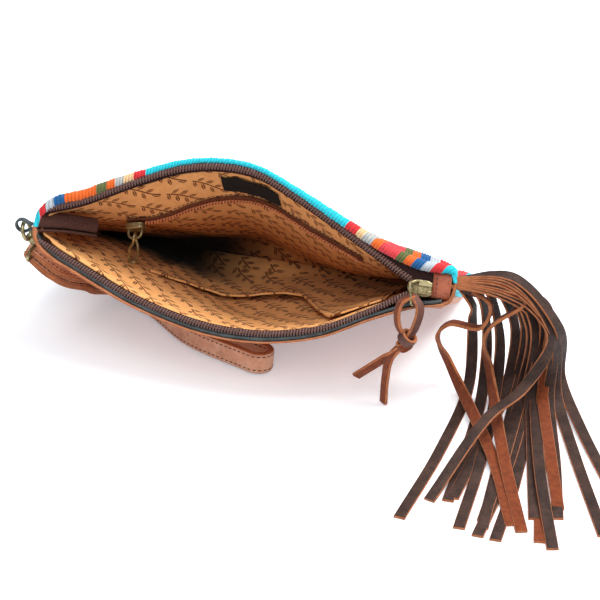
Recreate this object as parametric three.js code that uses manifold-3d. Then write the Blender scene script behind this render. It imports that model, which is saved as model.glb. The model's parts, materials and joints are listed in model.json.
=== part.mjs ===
/**
 * Leather wristlet with a woven front and a fringe tassel, lying on its leather back with the
 * zip mouth open. Units are millimetres and +Z is up; the mouth faces -Y and upwards.
 *
 * The bag is described in its own coordinates: s runs along the mouth, v across it from the
 * leather wall to the woven wall, and d is the depth below the mouth.
 */
import * as THREE from "three";
import { mergeVertices } from "three/addons/utils/BufferGeometryUtils.js";
import initManifold from "manifold-3d";

const LEAN = THREE.MathUtils.degToRad(32);
const MOUTH_HEIGHT = 72;
const BAG_DEPTH = 140;
const HALF_WIDTH = 113;
const SEAM_RISE = 5.4;
const BODY_HALF_THICKNESS = 4.4;
const SEAM_HALF_THICKNESS = 2.25;
const BELLY = 18;

const WOVEN_THICKNESS = 2.4;
const LEATHER_THICKNESS = 1.6;
const FACING_THICKNESS = 1.2;
const FACING_INSET = LEATHER_THICKNESS + 0.3;
const FACING_DEPTH = 6.6;
const FACING_CLEARANCE = 0.9;
const LINING_THICKNESS = 1.0;
const LINING_HALF_GAP = 1.4;
const LINING_SAG = 7;
const LINING_SLACK = 2.8;
const CLEARANCE = 0.6;
const SEAM_GAP = 0.2;
const RIM_SHARE = 0.02;
const SWELL_CURVE = 0.45;

const TAPE_TOP = 2.6;
const TAPE_THICKNESS = 1.0;
const COIL_RADIUS = 1.5;
const COIL_DEPTH = 0.8;
const SLIDER_S = 94.5;
const SLIDER_V = -4.8;

const STRAP_WIDTH = 13;
const STRAP_THICKNESS = 3.2;
const EYE_HALF = 3.1;
const STRIP_WIDTH = 6;
const STRIP_THICKNESS = 1.9;
const STRIPS_A_LAYER = 7;
const STRIP_SPACING = 1.7;
const LAYER_RISE = 3.1;
const THONG_WIDTH = 4.2;
const THONG_THICKNESS = 1.8;

/**
 * Sections along the mouth. far and near are the outer wall lines, coilFar and coilNear the zip
 * lines, blunt rounds the two ends, drape says how fast the front lining falls inwards, and swell
 * is how far the woven wall bulges below its rim.
 */
const MOUTH_ROWS = [
  { s: -113, far: 0, near: 0, coilFar: 6, coilNear: -4, blunt: 0, drape: 3, swell: 0 },
  { s: -111.5, far: 8.5, near: -7, coilFar: 8.5, coilNear: -5.5, blunt: 0.75, drape: 3, swell: 0 },
  { s: -104, far: 17.6, near: -15, coilFar: 11.5, coilNear: -8.6, blunt: 1, drape: 3, swell: 0 },
  { s: -93, far: 22.8, near: -21, coilFar: 16.2, coilNear: -14.6, blunt: 1, drape: 3.2, swell: 0 },
  { s: -78, far: 30.4, near: -27.4, coilFar: 23.6, coilNear: -21, blunt: 1, drape: 3.4, swell: 0 },
  { s: -62, far: 37.4, near: -33.8, coilFar: 31.6, coilNear: -27.4, blunt: 1, drape: 3.2, swell: 0 },
  { s: -41, far: 45.4, near: -39.9, coilFar: 40.3, coilNear: -33.5, blunt: 1, drape: 2.2, swell: 0 },
  { s: -20, far: 48.8, near: -44.1, coilFar: 44, coilNear: -37.7, blunt: 1, drape: 1.5, swell: 0 },
  { s: 0, far: 47.4, near: -45.4, coilFar: 42.6, coilNear: -39, blunt: 1, drape: 1.5, swell: 0 },
  { s: 21, far: 39.3, near: -43.8, coilFar: 34, coilNear: -37.4, blunt: 1, drape: 1.9, swell: 0 },
  { s: 46, far: 28, near: -37.4, coilFar: 21.4, coilNear: -31, blunt: 1, drape: 3.2, swell: 0.4 },
  { s: 72, far: 16.4, near: -24.4, coilFar: 7.6, coilNear: -17.6, blunt: 1, drape: 5, swell: 2.5 },
  { s: 93, far: 9.8, near: -15.5, coilFar: -2.8, coilNear: -6.8, blunt: 1, drape: 5, swell: 5.5 },
  { s: 105, far: 9, near: -13, coilFar: -2.8, coilNear: -6.8, blunt: 1, drape: 5, swell: 4.5 },
  { s: 111.5, far: 7.2, near: -9, coilFar: -2.8, coilNear: -6.8, blunt: 0.75, drape: 5, swell: 1.2 },
  { s: 113, far: 0, near: 0, coilFar: -2.8, coilNear: -6.8, blunt: 0, drape: 5, swell: 0 },
];

const PANEL_DEPTHS = [0, 0.06, 0.18, 0.34, 0.5, 0.65, 0.8, 0.92, 1];
const LINING_DEPTHS = [0.03, 0.12, 0.25, 0.4, 0.57, 0.75, 0.93];

/** Route of the wrist strap: the line between its two legs, and half the distance between them. */
const STRAP_ROWS = [
  { x: -122, y: 14.3, z: 48.6, apart: 3.1, sideX: 0.15, sideY: 0.97, sideZ: 0.2 },
  { x: -112.4, y: 16.7, z: 36, apart: 2.2, sideX: 0.2, sideY: 0.9, sideZ: 0.35 },
  { x: -105, y: 34, z: 17, apart: 2.4, sideX: 0.25, sideY: 0.45, sideZ: 0.8 },
  { x: -91, y: 53, z: 8.2, apart: 3.6, sideX: 0.1, sideY: 0.1, sideZ: 1 },
  { x: -66, y: 46, z: 6.9, apart: 5.2, sideX: 0, sideY: 0.12, sideZ: 1 },
  { x: -34, y: 24, z: 6.8, apart: 6.2, sideX: 0, sideY: 0.15, sideZ: 1 },
  { x: 2, y: 9.5, z: 6.8, apart: 6.4, sideX: 0, sideY: 0.15, sideZ: 1 },
];

/** Fringe strips: where each one bends over, lands, runs and ends, and how far it lies up. */
const STRIP_ROWS = [
  { bend: [127, 5, 50], land: [120, 10], mid: [116, -47], tip: [109, -109], lift: 0 },
  { bend: [164, 6, 52], land: [153, 16], mid: [137, -47], tip: [120, -91], lift: 5 },
  { bend: [135, 5, 48], land: [128, 4], mid: [129, -44], tip: [129, -89], lift: 0 },
  { bend: [140, 1, 48], land: [135, 7], mid: [138, -52], tip: [139, -110], lift: 1 },
  { bend: [150, 5, 50], land: [147, 11], mid: [149, -49], tip: [149, -101], lift: 1 },
  { bend: [152, 5, 52], land: [150, 8], mid: [152, -56], tip: [149, -114], lift: 0 },
  { bend: [153, 8, 52], land: [153, 5], mid: [158, -63], tip: [158, -115], lift: 0 },
  { bend: [156, 7, 54], land: [153, 8], mid: [164, -49], tip: [173, -93], lift: 1 },
  { bend: [157, 10, 54], land: [159, 4], mid: [170, -60], tip: [179, -111], lift: 0 },
  { bend: [158, 8, 60], land: [154, 13], mid: [169, -57], tip: [186, -115], lift: 4 },
  { bend: [162, 5, 52], land: [160, 10], mid: [172, -43], tip: [183, -82], lift: 4 },
  { bend: [164, 3, 52], land: [164, 7], mid: [175, -46], tip: [184, -90], lift: 1 },
  { bend: [166, 3, 48], land: [167, 12], mid: [183, -35], tip: [208, -98], lift: 1 },
  { bend: [168, 4, 52], land: [167, 25], mid: [181, -9], tip: [206, -59], lift: 2 },
];

/** Fringe strips that fold back on themselves: the places each one passes, then its way on the floor. */
const LOOPED_ROWS = [
  {
    loop: [[128.5, 8.5, 57], [125, 5.6, 45], [107, 12.5, 40], [101, 12.5, 32], [107, 16.5, 12]],
    mid: [143, -49],
    tip: [163, -101],
    lift: 3,
  },
  {
    loop: [[141, 8, 69], [146, 9, 61], [131, 5, 48], [126.5, 7, 37], [129, 12, 14]],
    mid: [149, -50],
    tip: [169, -105],
    lift: 5,
  },
];
const TASSEL_ROOT = new THREE.Vector3(119, 3, 68);

const manifoldModule = await initManifold();
manifoldModule.setup();
const { Manifold, Mesh: ManifoldMesh } = manifoldModule;

/** Smooth value of one column of MOUTH_ROWS at place s. */
function mouth(key, s) {
  const last = MOUTH_ROWS.length - 1;
  const place = THREE.MathUtils.clamp(s, -HALF_WIDTH, HALF_WIDTH);
  let i = 0;
  while (i < last - 1 && place > MOUTH_ROWS[i + 1].s) i += 1;
  const slope = (k) => {
    const before = MOUTH_ROWS[Math.max(k - 1, 0)];
    const after = MOUTH_ROWS[Math.min(k + 1, last)];
    return (after[key] - before[key]) / (after.s - before.s);
  };
  const [from, to] = [MOUTH_ROWS[i], MOUTH_ROWS[i + 1]];
  const span = to.s - from.s;
  const t = (place - from.s) / span;
  const t2 = t * t;
  const t3 = t2 * t;
  return (2 * t3 - 3 * t2 + 1) * from[key] + (t3 - 2 * t2 + t) * span * slope(i)
    + (-2 * t3 + 3 * t2) * to[key] + (t3 - t2) * span * slope(i + 1);
}

/** World point of bag coordinates. */
function bagPoint(s, v, d) {
  return new THREE.Vector3(
    s,
    v * Math.sin(LEAN) + d * Math.cos(LEAN),
    MOUTH_HEIGHT + v * Math.cos(LEAN) - d * Math.sin(LEAN),
  );
}

/** World direction of bag coordinates. */
function bagDirection(s, v, d) {
  return bagPoint(s, v, d).sub(bagPoint(0, 0, 0)).normalize();
}

const centreLine = (q) => SEAM_RISE * q;
const floorLine = (q) => -(MOUTH_HEIGHT - q * BAG_DEPTH * Math.sin(LEAN)) / Math.cos(LEAN);
const flare = (s) => 1.1 + 2.2 * (s / HALF_WIDTH) ** 2;
const narrowed = (s, inset) => s * (1 - inset / HALF_WIDTH);

function bodyHalf(q) {
  const closing = THREE.MathUtils.smoothstep(q, 0.94, 1);
  return THREE.MathUtils.lerp(BODY_HALF_THICKNESS, SEAM_HALF_THICKNESS, closing);
}

/** Outer line of the woven wall at place s and depth fraction q. */
function frontWall(s, q) {
  const half = bodyHalf(q) * mouth("blunt", s);
  const open = (mouth("far", s) - half) * (1 - q) ** flare(s);
  const below = Math.max((q - RIM_SHARE) / (1 - RIM_SHARE), 0) ** SWELL_CURVE;
  const swell = mouth("swell", s) * 4 * below * (1 - below);
  return Math.max(centreLine(q) + half + open + swell, centreLine(q) + SEAM_GAP);
}

/** Outer line of the leather wall, flattened where it rests on the floor. */
function backWall(s, q) {
  const half = bodyHalf(q) * mouth("blunt", s);
  const open = (mouth("near", s) + half) * (1 - q) ** flare(s);
  const belly = BELLY * (1 - (s / HALF_WIDTH) ** 2) ** 1.5 * Math.sin(Math.PI * q * q);
  const hanging = Math.min(centreLine(q) - half + open - belly, centreLine(q) - SEAM_GAP);
  return Math.max(hanging, floorLine(q));
}

/** Line between the two lining walls, which sags below the bag's own centre line. */
function liningCentre(s, q) {
  return centreLine(q) - LINING_SAG * (1 - (s / HALF_WIDTH) ** 2) * Math.sin(Math.PI * q);
}

/** Half the gap between the lining walls, wider where they hang loose at the strap's end. */
function liningHalf(s, q) {
  const loose = 1 - THREE.MathUtils.smoothstep(s, -20, 30);
  return (LINING_HALF_GAP + LINING_SLACK * loose * Math.sin(Math.PI * q)) * mouth("blunt", s);
}

/** Outer line of the front lining. */
function frontLining(s, q) {
  const blunt = mouth("blunt", s);
  const inset = WOVEN_THICKNESS + CLEARANCE;
  const half = liningHalf(s, q);
  const open = (mouth("far", s) - (inset + 0.4) * blunt - half) * (1 - q) ** mouth("drape", s);
  const free = liningCentre(s, q) + half + Math.max(open, 0);
  return Math.max(Math.min(frontWall(s, q) - inset * blunt, free), liningCentre(s, q) + SEAM_GAP);
}

/** Outer line of the back lining. */
function backLining(s, q) {
  const blunt = mouth("blunt", s);
  const inset = LEATHER_THICKNESS + FACING_THICKNESS + CLEARANCE + FACING_CLEARANCE;
  const half = liningHalf(s, q);
  const open = (mouth("near", s) + inset * blunt + half) * (1 - q) ** (1 + 0.8 * (s / HALF_WIDTH) ** 2);
  const free = liningCentre(s, q) - half + Math.min(open, 0);
  const rim = 1 - THREE.MathUtils.smoothstep(q, 0.05, 0.12);
  const facing = (FACING_THICKNESS + FACING_CLEARANCE) * rim;
  const wall = backWall(s, q) + (LEATHER_THICKNESS + CLEARANCE + facing) * blunt;
  return Math.min(Math.max(wall, free), liningCentre(s, q) - SEAM_GAP);
}

const LINING_INSET = WOVEN_THICKNESS + CLEARANCE;
const frontLiningInner = (s, q) => frontLining(s, q) - LINING_THICKNESS * mouth("blunt", s);
const backLiningInner = (s, q) => backLining(s, q) + LINING_THICKNESS * mouth("blunt", s);

/** World point on the inner face of a lining wall, raised off it by lift. */
function onLining(inner, s, q, lift) {
  return bagPoint(narrowed(s, LINING_INSET + LINING_THICKNESS), inner(s, q) + lift, q * BAG_DEPTH);
}

/** Evenly spread values from first to last. */
function spread(first, last, count) {
  return Array.from({ length: count }, (_, i) => first + ((last - first) * i) / (count - 1));
}

/** Every mouth row's place with parts added between rows. */
function mouthColumns(parts) {
  const columns = [];
  MOUTH_ROWS.slice(0, -1).forEach((row, i) => {
    const step = (MOUTH_ROWS[i + 1].s - row.s) / parts;
    for (let k = 0; k < parts; k += 1) columns.push(row.s + k * step);
  });
  columns.push(HALF_WIDTH);
  return columns;
}

/** Closed geometry from points and triangles, turned to face outwards. */
function solidFrom(points, triangles) {
  let volume = 0;
  const normal = new THREE.Vector3();
  triangles.forEach(([a, b, c]) => {
    normal.crossVectors(points[b], points[c]);
    volume += points[a].dot(normal);
  });
  const index = triangles.flatMap(([a, b, c]) => (volume < 0 ? [a, c, b] : [a, b, c]));
  const geometry = new THREE.BufferGeometry();
  geometry.setAttribute("position", new THREE.Float32BufferAttribute(points.flatMap((p) => p.toArray()), 3));
  geometry.setIndex(index);
  geometry.computeVertexNormals();
  return geometry;
}

/** Sheet with thickness between an outer and an inner face, each given on the same grid. */
function sheetSolid(columns, rows, outer, inner) {
  const points = [];
  const faces = [outer, inner];
  faces.forEach((face) => columns.forEach((s) => rows.forEach((q) => points.push(face(s, q)))));
  const count = rows.length;
  const at = (face, i, k) => face * columns.length * count + i * count + k;
  const triangles = [];
  const quad = (a, b, c, d) => triangles.push([a, b, c], [a, c, d]);
  for (let i = 0; i < columns.length - 1; i += 1) {
    for (let k = 0; k < count - 1; k += 1) {
      quad(at(0, i, k), at(0, i + 1, k), at(0, i + 1, k + 1), at(0, i, k + 1));
      quad(at(1, i, k), at(1, i, k + 1), at(1, i + 1, k + 1), at(1, i + 1, k));
    }
    quad(at(0, i, 0), at(1, i, 0), at(1, i + 1, 0), at(0, i + 1, 0));
    quad(at(0, i, count - 1), at(0, i + 1, count - 1), at(1, i + 1, count - 1), at(1, i, count - 1));
  }
  const end = columns.length - 1;
  for (let k = 0; k < count - 1; k += 1) {
    quad(at(0, 0, k), at(0, 0, k + 1), at(1, 0, k + 1), at(1, 0, k));
    quad(at(0, end, k), at(1, end, k), at(1, end, k + 1), at(0, end, k + 1));
  }
  return solidFrom(points, triangles);
}

/** Flat band swept along stations that give its place and its width direction. */
function bandSolid(stations, width, thickness, closed) {
  const points = [];
  const total = stations.length;
  stations.forEach((station, i) => {
    const before = stations[closed ? (i - 1 + total) % total : Math.max(i - 1, 0)].place;
    const after = stations[closed ? (i + 1) % total : Math.min(i + 1, total - 1)].place;
    const along = after.clone().sub(before).normalize();
    const side = station.side.clone().addScaledVector(along, -station.side.dot(along)).normalize();
    const up = side.clone().cross(along);
    [[-1, -1], [1, -1], [1, 1], [-1, 1]].forEach(([across, over]) => {
      const corner = station.place.clone()
        .addScaledVector(side, (across * width) / 2)
        .addScaledVector(up, (over * thickness) / 2);
      corner.z = Math.max(corner.z, 0);
      points.push(corner);
    });
  });
  const triangles = [];
  const spans = closed ? total : total - 1;
  for (let i = 0; i < spans; i += 1) {
    const next = (i + 1) % total;
    for (let k = 0; k < 4; k += 1) {
      const turn = (k + 1) % 4;
      triangles.push([4 * i + k, 4 * i + turn, 4 * next + turn], [4 * i + k, 4 * next + turn, 4 * next + k]);
    }
  }
  if (!closed) {
    const e = 4 * (total - 1);
    triangles.push([0, 2, 1], [0, 3, 2], [e, e + 1, e + 2], [e, e + 2, e + 3]);
  }
  return solidFrom(points, triangles);
}

/** Stations of a band along a smooth line through rows of {place, side}. */
function bandStations(rows, count) {
  const line = new THREE.CatmullRomCurve3(rows.map((row) => row.place));
  return spread(0, 1, count).map((t) => {
    const at = t * (rows.length - 1);
    const i = Math.min(Math.floor(at), rows.length - 2);
    return { place: line.getPoint(t), side: rows[i].side.clone().lerp(rows[i + 1].side, at - i) };
  });
}

/** Round rod along a smooth open line. */
function rodSolid(points, radius, steps, sides) {
  const outline = new THREE.Shape(
    spread(0, 2 * Math.PI, sides + 1).slice(0, -1)
      .map((turn) => new THREE.Vector2(radius * Math.cos(turn), radius * Math.sin(turn))),
  );
  const path = new THREE.CatmullRomCurve3(points);
  return new THREE.ExtrudeGeometry(outline, { steps, extrudePath: path, bevelEnabled: false });
}

/** Closed wire link with round ends, from one end to the other in the plane that side spans. */
function linkSolid(from, to, side, halfWidth, radius) {
  const along = to.clone().sub(from).normalize();
  const across = side.clone().addScaledVector(along, -side.dot(along)).normalize();
  const points = [];
  [[from, Math.PI / 2], [to, -Math.PI / 2]].forEach(([centre, start]) => {
    spread(start, start + Math.PI, 5).forEach((turn) => {
      points.push(centre.clone()
        .addScaledVector(along, halfWidth * Math.cos(turn))
        .addScaledVector(across, halfWidth * Math.sin(turn)));
    });
  });
  const path = new THREE.CatmullRomCurve3(points, true);
  return new THREE.TubeGeometry(path, 22, radius, 5, true);
}

/** Flat outline given thickness along its local Z, then set at a place with two axes. */
function plateSolid(shape, thickness, place, axisX, axisY) {
  const settings = { depth: thickness, bevelEnabled: false, curveSegments: 5 };
  const geometry = new THREE.ExtrudeGeometry(shape, settings);
  const axisZ = axisX.clone().cross(axisY).normalize();
  const basis = new THREE.Matrix4().makeBasis(axisX, axisZ.clone().cross(axisX), axisZ);
  return geometry.applyMatrix4(basis.setPosition(place));
}

/** Rectangle with rounded corners around the origin. */
function roundedRectangle(width, height, radius) {
  const [x, y] = [width / 2, height / 2];
  const shape = new THREE.Shape();
  shape.moveTo(-x + radius, -y);
  shape.lineTo(x - radius, -y);
  shape.quadraticCurveTo(x, -y, x, -y + radius);
  shape.lineTo(x, y - radius);
  shape.quadraticCurveTo(x, y, x - radius, y);
  shape.lineTo(-x + radius, y);
  shape.quadraticCurveTo(-x, y, -x, y - radius);
  shape.lineTo(-x, -y + radius);
  shape.quadraticCurveTo(-x, -y, -x + radius, -y);
  return shape;
}

/** One solid from several that touch, without the closed hollows between them. */
function fused(geometries) {
  const solids = geometries.map((geometry) => {
    const plain = new THREE.BufferGeometry();
    plain.setAttribute("position", geometry.getAttribute("position").clone());
    if (geometry.index) plain.setIndex(geometry.index.clone());
    const merged = mergeVertices(plain, 1e-4);
    const mesh = new ManifoldMesh({
      numProp: 3,
      vertProperties: new Float32Array(merged.getAttribute("position").array),
      triVerts: new Uint32Array(merged.index.array),
    });
    return new Manifold(mesh);
  });
  const shells = Manifold.union(solids).simplify(0.5).decompose();
  const whole = shells.reduce((best, shell) => (shell.volume() > best.volume() ? shell : best));
  const mesh = whole.getMesh();
  const geometry = new THREE.BufferGeometry();
  geometry.setAttribute("position", new THREE.Float32BufferAttribute(Array.from(mesh.vertProperties), 3));
  geometry.setIndex(Array.from(mesh.triVerts));
  geometry.computeVertexNormals();
  return geometry;
}

const MATERIALS = {
  woven: new THREE.MeshStandardMaterial({ color: 0x28c8d8, roughness: 0.9 }),
  leather: new THREE.MeshStandardMaterial({ color: 0xba7a59, roughness: 0.6 }),
  dark_leather: new THREE.MeshStandardMaterial({ color: 0x5e4a42, roughness: 0.65 }),
  slate_leather: new THREE.MeshStandardMaterial({ color: 0x46504f, roughness: 0.6 }),
  lining: new THREE.MeshStandardMaterial({ color: 0xd9925f, roughness: 0.9 }),
  zip_cloth: new THREE.MeshStandardMaterial({ color: 0x4b3232, roughness: 0.85 }),
  zip_coil: new THREE.MeshStandardMaterial({ color: 0x3a2626, roughness: 0.5 }),
  pocket_cloth: new THREE.MeshStandardMaterial({ color: 0x8e4a2c, roughness: 0.85 }),
  label_cloth: new THREE.MeshStandardMaterial({ color: 0x18100c, roughness: 0.8 }),
  brass: new THREE.MeshStandardMaterial({ color: 0x96875f, roughness: 0.4, metalness: 1 }),
};

const part = new THREE.Group();

function add(name, geometry, material) {
  const mesh = new THREE.Mesh(geometry, MATERIALS[material]);
  mesh.name = name;
  part.add(mesh);
}

/** Wall between two lines of the bag, given as functions of place and depth fraction. */
function wallSolid(columns, depths, outerLine, innerLine, outerInset, innerInset) {
  const face = (line, inset) => (s, q) => bagPoint(narrowed(s, inset), line(s, q), q * BAG_DEPTH);
  return sheetSolid(columns, depths, face(outerLine, outerInset), face(innerLine, innerInset));
}

function addWalls() {
  const columns = mouthColumns(2);
  const wovenInner = (s, q) => frontWall(s, q) - WOVEN_THICKNESS * mouth("blunt", s);
  const leatherInner = (s, q) => backWall(s, q) + LEATHER_THICKNESS * mouth("blunt", s);
  const front = wallSolid(columns, PANEL_DEPTHS, frontWall, wovenInner, 0, WOVEN_THICKNESS);
  add("front_panel", front, "woven");
  const back = wallSolid(columns, PANEL_DEPTHS, backWall, leatherInner, 0, LEATHER_THICKNESS);
  add("back_panel", back, "leather");

  const insets = [LINING_INSET, LINING_INSET + LINING_THICKNESS];
  const liningFront = wallSolid(columns, LINING_DEPTHS, frontLining, frontLiningInner, ...insets);
  add("lining_front", liningFront, "lining");
  const liningBack = wallSolid(columns, LINING_DEPTHS, backLining, backLiningInner, ...insets);
  add("lining_back", liningBack, "lining");

  const facingColumns = mouthColumns(2).slice(4, -4);
  const facingDepths = [0.2 / BAG_DEPTH, FACING_DEPTH / BAG_DEPTH];
  const facingOuter = (s, q) => backWall(s, q) + LEATHER_THICKNESS + CLEARANCE;
  const facingInner = (s, q) => facingOuter(s, q) + FACING_THICKNESS;
  const facing = wallSolid(facingColumns, facingDepths, facingOuter, facingInner, FACING_INSET, FACING_INSET);
  add("rim_facing", facing, "slate_leather");
}

function addMainZip() {
  const columns = spread(-103, 104, 34);
  const across = [0, 1];
  const frontEdge = (s) => frontWall(s / narrowed(1, WOVEN_THICKNESS), 0.02) - WOVEN_THICKNESS - 1.2;
  const facingIn = LEATHER_THICKNESS + FACING_THICKNESS + CLEARANCE;
  const backEdge = (s) => backWall(s / narrowed(1, FACING_INSET), 0.02) + facingIn + FACING_CLEARANCE;
  const tape = (edge, coil, sign) => (depth) => (s, t) => {
    const inner = mouth(coil, s) - sign * 0.7;
    const outer = sign * Math.max(sign * edge(s), sign * inner + 1.2);
    return bagPoint(s, THREE.MathUtils.lerp(outer, inner, t), depth);
  };
  const sides = [
    { wall: "front", edge: frontEdge, coil: "coilFar", sign: 1 },
    { wall: "back", edge: backEdge, coil: "coilNear", sign: -1 },
  ];
  sides.forEach(({ wall, edge, coil, sign }) => {
    const face = tape(edge, coil, sign);
    const solid = sheetSolid(columns, across, face(TAPE_TOP), face(TAPE_TOP + TAPE_THICKNESS));
    add(`zip_tape_${wall}`, solid, "zip_cloth");
    const line = spread(-100.5, 86.5, 22).map((s) => bagPoint(s, mouth(coil, s), COIL_DEPTH));
    add(`zip_coil_${wall}`, rodSolid(line, COIL_RADIUS, 22, 5), "zip_coil");
  });
}

function addSlider() {
  const [alongS, acrossV] = [bagDirection(1, 0, 0), bagDirection(0, 1, 0)];
  const outward = bagDirection(0, 0, -1);
  const bodyPlace = bagPoint(SLIDER_S, SLIDER_V, 2.2);
  const body = plateSolid(roundedRectangle(11.5, 8.6, 2), 5, bodyPlace, alongS, acrossV);
  const arch = new THREE.Shape();
  arch.moveTo(-4.4, -0.6);
  arch.lineTo(4.4, -0.6);
  arch.lineTo(4.4, 3.2);
  arch.lineTo(3.2, 4.6);
  arch.lineTo(-3.2, 4.6);
  arch.lineTo(-4.4, 3.2);
  const window = new THREE.Path();
  window.moveTo(-3, 0.1);
  window.lineTo(-3, 3.2);
  window.lineTo(3, 3.2);
  window.lineTo(3, 0.1);
  arch.holes.push(window);
  const bridgePlace = bagPoint(SLIDER_S, SLIDER_V + 1.1, -2.8);
  const bridge = plateSolid(arch, 2.2, bridgePlace, alongS, outward);
  add("zip_slider", fused([body, bridge]), "brass");

  const barCentre = bagPoint(SLIDER_S, SLIDER_V, -6.9);
  const thongEnd = bagPoint(SLIDER_S - 3, SLIDER_V - 6.7, -6.4);
  add("slider_bail", linkSolid(barCentre, thongEnd, outward, 2.4, 0.7), "brass");

  const tab = plateSolid(roundedRectangle(7.4, 12, 2.4), 2, bagPoint(104.6, -2.2, 2.2), alongS, acrossV);
  add("zip_end_tab", tab, "leather");
  const tailLine = [
    { place: bagPoint(-104, 1.6, 7.5), side: bagDirection(0, 1, 0.3) },
    { place: bagPoint(-96, 3.6, 12), side: bagDirection(0, 1, 0.2) },
    { place: bagPoint(-87, 4.4, 20), side: bagDirection(0, 1, 0) },
  ];
  add("zip_tail", bandSolid(bandStations(tailLine, 8), 9, 5, false), "zip_cloth");
}

function addThong() {
  const loopSide = new THREE.Vector3(0, -0.86, 0.5);
  const bailSide = bagDirection(-0.41, -0.91, 0.07);
  const through = bagPoint(SLIDER_S - 2, SLIDER_V - 4.2, -6.55);
  const knot = new THREE.Vector3(91, -18, 45);
  const loop = [
    { place: knot, side: loopSide },
    { place: new THREE.Vector3(85.6, -17.4, 54), side: loopSide },
    { place: new THREE.Vector3(86.3, -14.3, 64.4), side: bailSide },
    { place: through, side: bailSide },
    { place: new THREE.Vector3(96.7, -14.3, 63.4), side: bailSide },
    { place: new THREE.Vector3(95.4, -17, 54), side: loopSide },
    { place: knot, side: loopSide },
  ];
  const longTail = [
    { place: knot, side: new THREE.Vector3(0.6, -0.5, 0.3) },
    { place: new THREE.Vector3(82, -16, 32), side: new THREE.Vector3(0.7, -0.5, 0.6) },
    { place: new THREE.Vector3(79, -13, 17), side: new THREE.Vector3(0.8, -0.6, 0) },
    { place: new THREE.Vector3(78, -12, 1.4), side: new THREE.Vector3(0.8, -0.6, 0) },
  ];
  const shortTail = [
    { place: knot, side: new THREE.Vector3(0.4, -0.6, 0.6) },
    { place: new THREE.Vector3(79, -13, 30), side: new THREE.Vector3(0.5, -0.3, 0.8) },
    { place: new THREE.Vector3(62, -7, 12), side: new THREE.Vector3(0.5, -0.3, 0.8) },
  ];
  const bead = new THREE.SphereGeometry(1, 9, 7);
  bead.scale(5.6, 4.6, 7);
  bead.translate(knot.x, knot.y, knot.z);
  const thong = fused([
    bandSolid(bandStations(loop, 22), THONG_WIDTH, THONG_THICKNESS, false),
    bandSolid(bandStations(longTail, 12), THONG_WIDTH, THONG_THICKNESS, false),
    bandSolid(bandStations(shortTail, 10), THONG_WIDTH, THONG_THICKNESS, false),
    bead,
  ]);
  add("zip_thong", thong, "dark_leather");
}

function addPockets() {
  const zipDepth = (s) => 0.18 - 0.0006 * s;
  const onZip = (s, below, lift) => onLining(frontLiningInner, s, zipDepth(s) + below, lift);
  const tapeColumns = spread(-78, 60, 22);
  const tapeHalf = 0.03;
  const tapeFace = (lift) => (s, below) => onZip(s, below, lift);
  const tape = sheetSolid(tapeColumns, [-tapeHalf, 0, tapeHalf], tapeFace(-0.7), tapeFace(-1.7));
  add("pocket_tape", tape, "pocket_cloth");
  const coilLine = spread(-67, 57, 16).map((s) => onZip(s, 0, -3.4));
  add("pocket_coil", rodSolid(coilLine, 1, 18, 5), "pocket_cloth");

  const sliderAt = -73;
  const alongZip = onZip(sliderAt + 4, 0, 0).sub(onZip(sliderAt - 4, 0, 0)).normalize();
  const downWall = onZip(sliderAt, tapeHalf, 0).sub(onZip(sliderAt, -tapeHalf, 0)).normalize();
  const offWall = alongZip.clone().cross(downWall).normalize();
  if (offWall.z > 0) offWall.negate();
  const across = offWall.clone().cross(alongZip);
  const seat = onZip(sliderAt, 0, -2.6);
  const body = plateSolid(roundedRectangle(8.4, 6.4, 1.6), 3.4, seat, alongZip, across);
  const arch = roundedRectangle(7.6, 6, 1.4);
  const window = new THREE.Path();
  window.moveTo(-2.5, -1.8);
  window.lineTo(-2.5, 1.8);
  window.lineTo(2.5, 1.8);
  window.lineTo(2.5, -1.8);
  arch.holes.push(window);
  const archCentre = seat.clone().addScaledVector(offWall, 5.6).addScaledVector(across, 0.85);
  const bridge = plateSolid(arch, 1.7, archCentre, alongZip, offWall);
  add("pocket_slider", fused([body, bridge]), "brass");

  const bar = seat.clone().addScaledVector(offWall, 8);
  const hang = bar.clone().add(new THREE.Vector3(-1.5, 0, -13.5));
  const pullSide = new THREE.Vector3(0, 1, 0);
  add("pocket_pull", linkSolid(bar, hang, pullSide, 2.2, 0.7), "brass");

  const labelColumns = spread(-21.5, 11.5, 9);
  const labelFace = (lift) => (s, q) => onLining(frontLiningInner, s, q, lift);
  const labelDepths = [0.055, 0.094, 0.132];
  add("label_tab", sheetSolid(labelColumns, labelDepths, labelFace(-0.7), labelFace(-1.7)), "label_cloth");

  const [pocketFrom, pocketTo] = [-66, 76];
  const base = 0.84;
  const hem = (s) => 0.58 - 0.4 * ((s + 5) / 76) ** 2;
  const gape = (s, down) => {
    const middle = Math.sin((Math.PI * (s - pocketFrom)) / (pocketTo - pocketFrom)) ** 2;
    return 0.9 + 4 * middle * (1 - down) ** 1.4;
  };
  const pocketFace = (lift) => (s, down) => {
    const q = THREE.MathUtils.lerp(hem(s), base, down);
    return onLining(backLiningInner, s, q, gape(s, down) + lift);
  };
  const pocketColumns = spread(pocketFrom, pocketTo, 21);
  const pocket = sheetSolid(pocketColumns, [0, 0.22, 0.46, 0.72, 1], pocketFace(0), pocketFace(1));
  add("slip_pocket", pocket, "lining");
}

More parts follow.
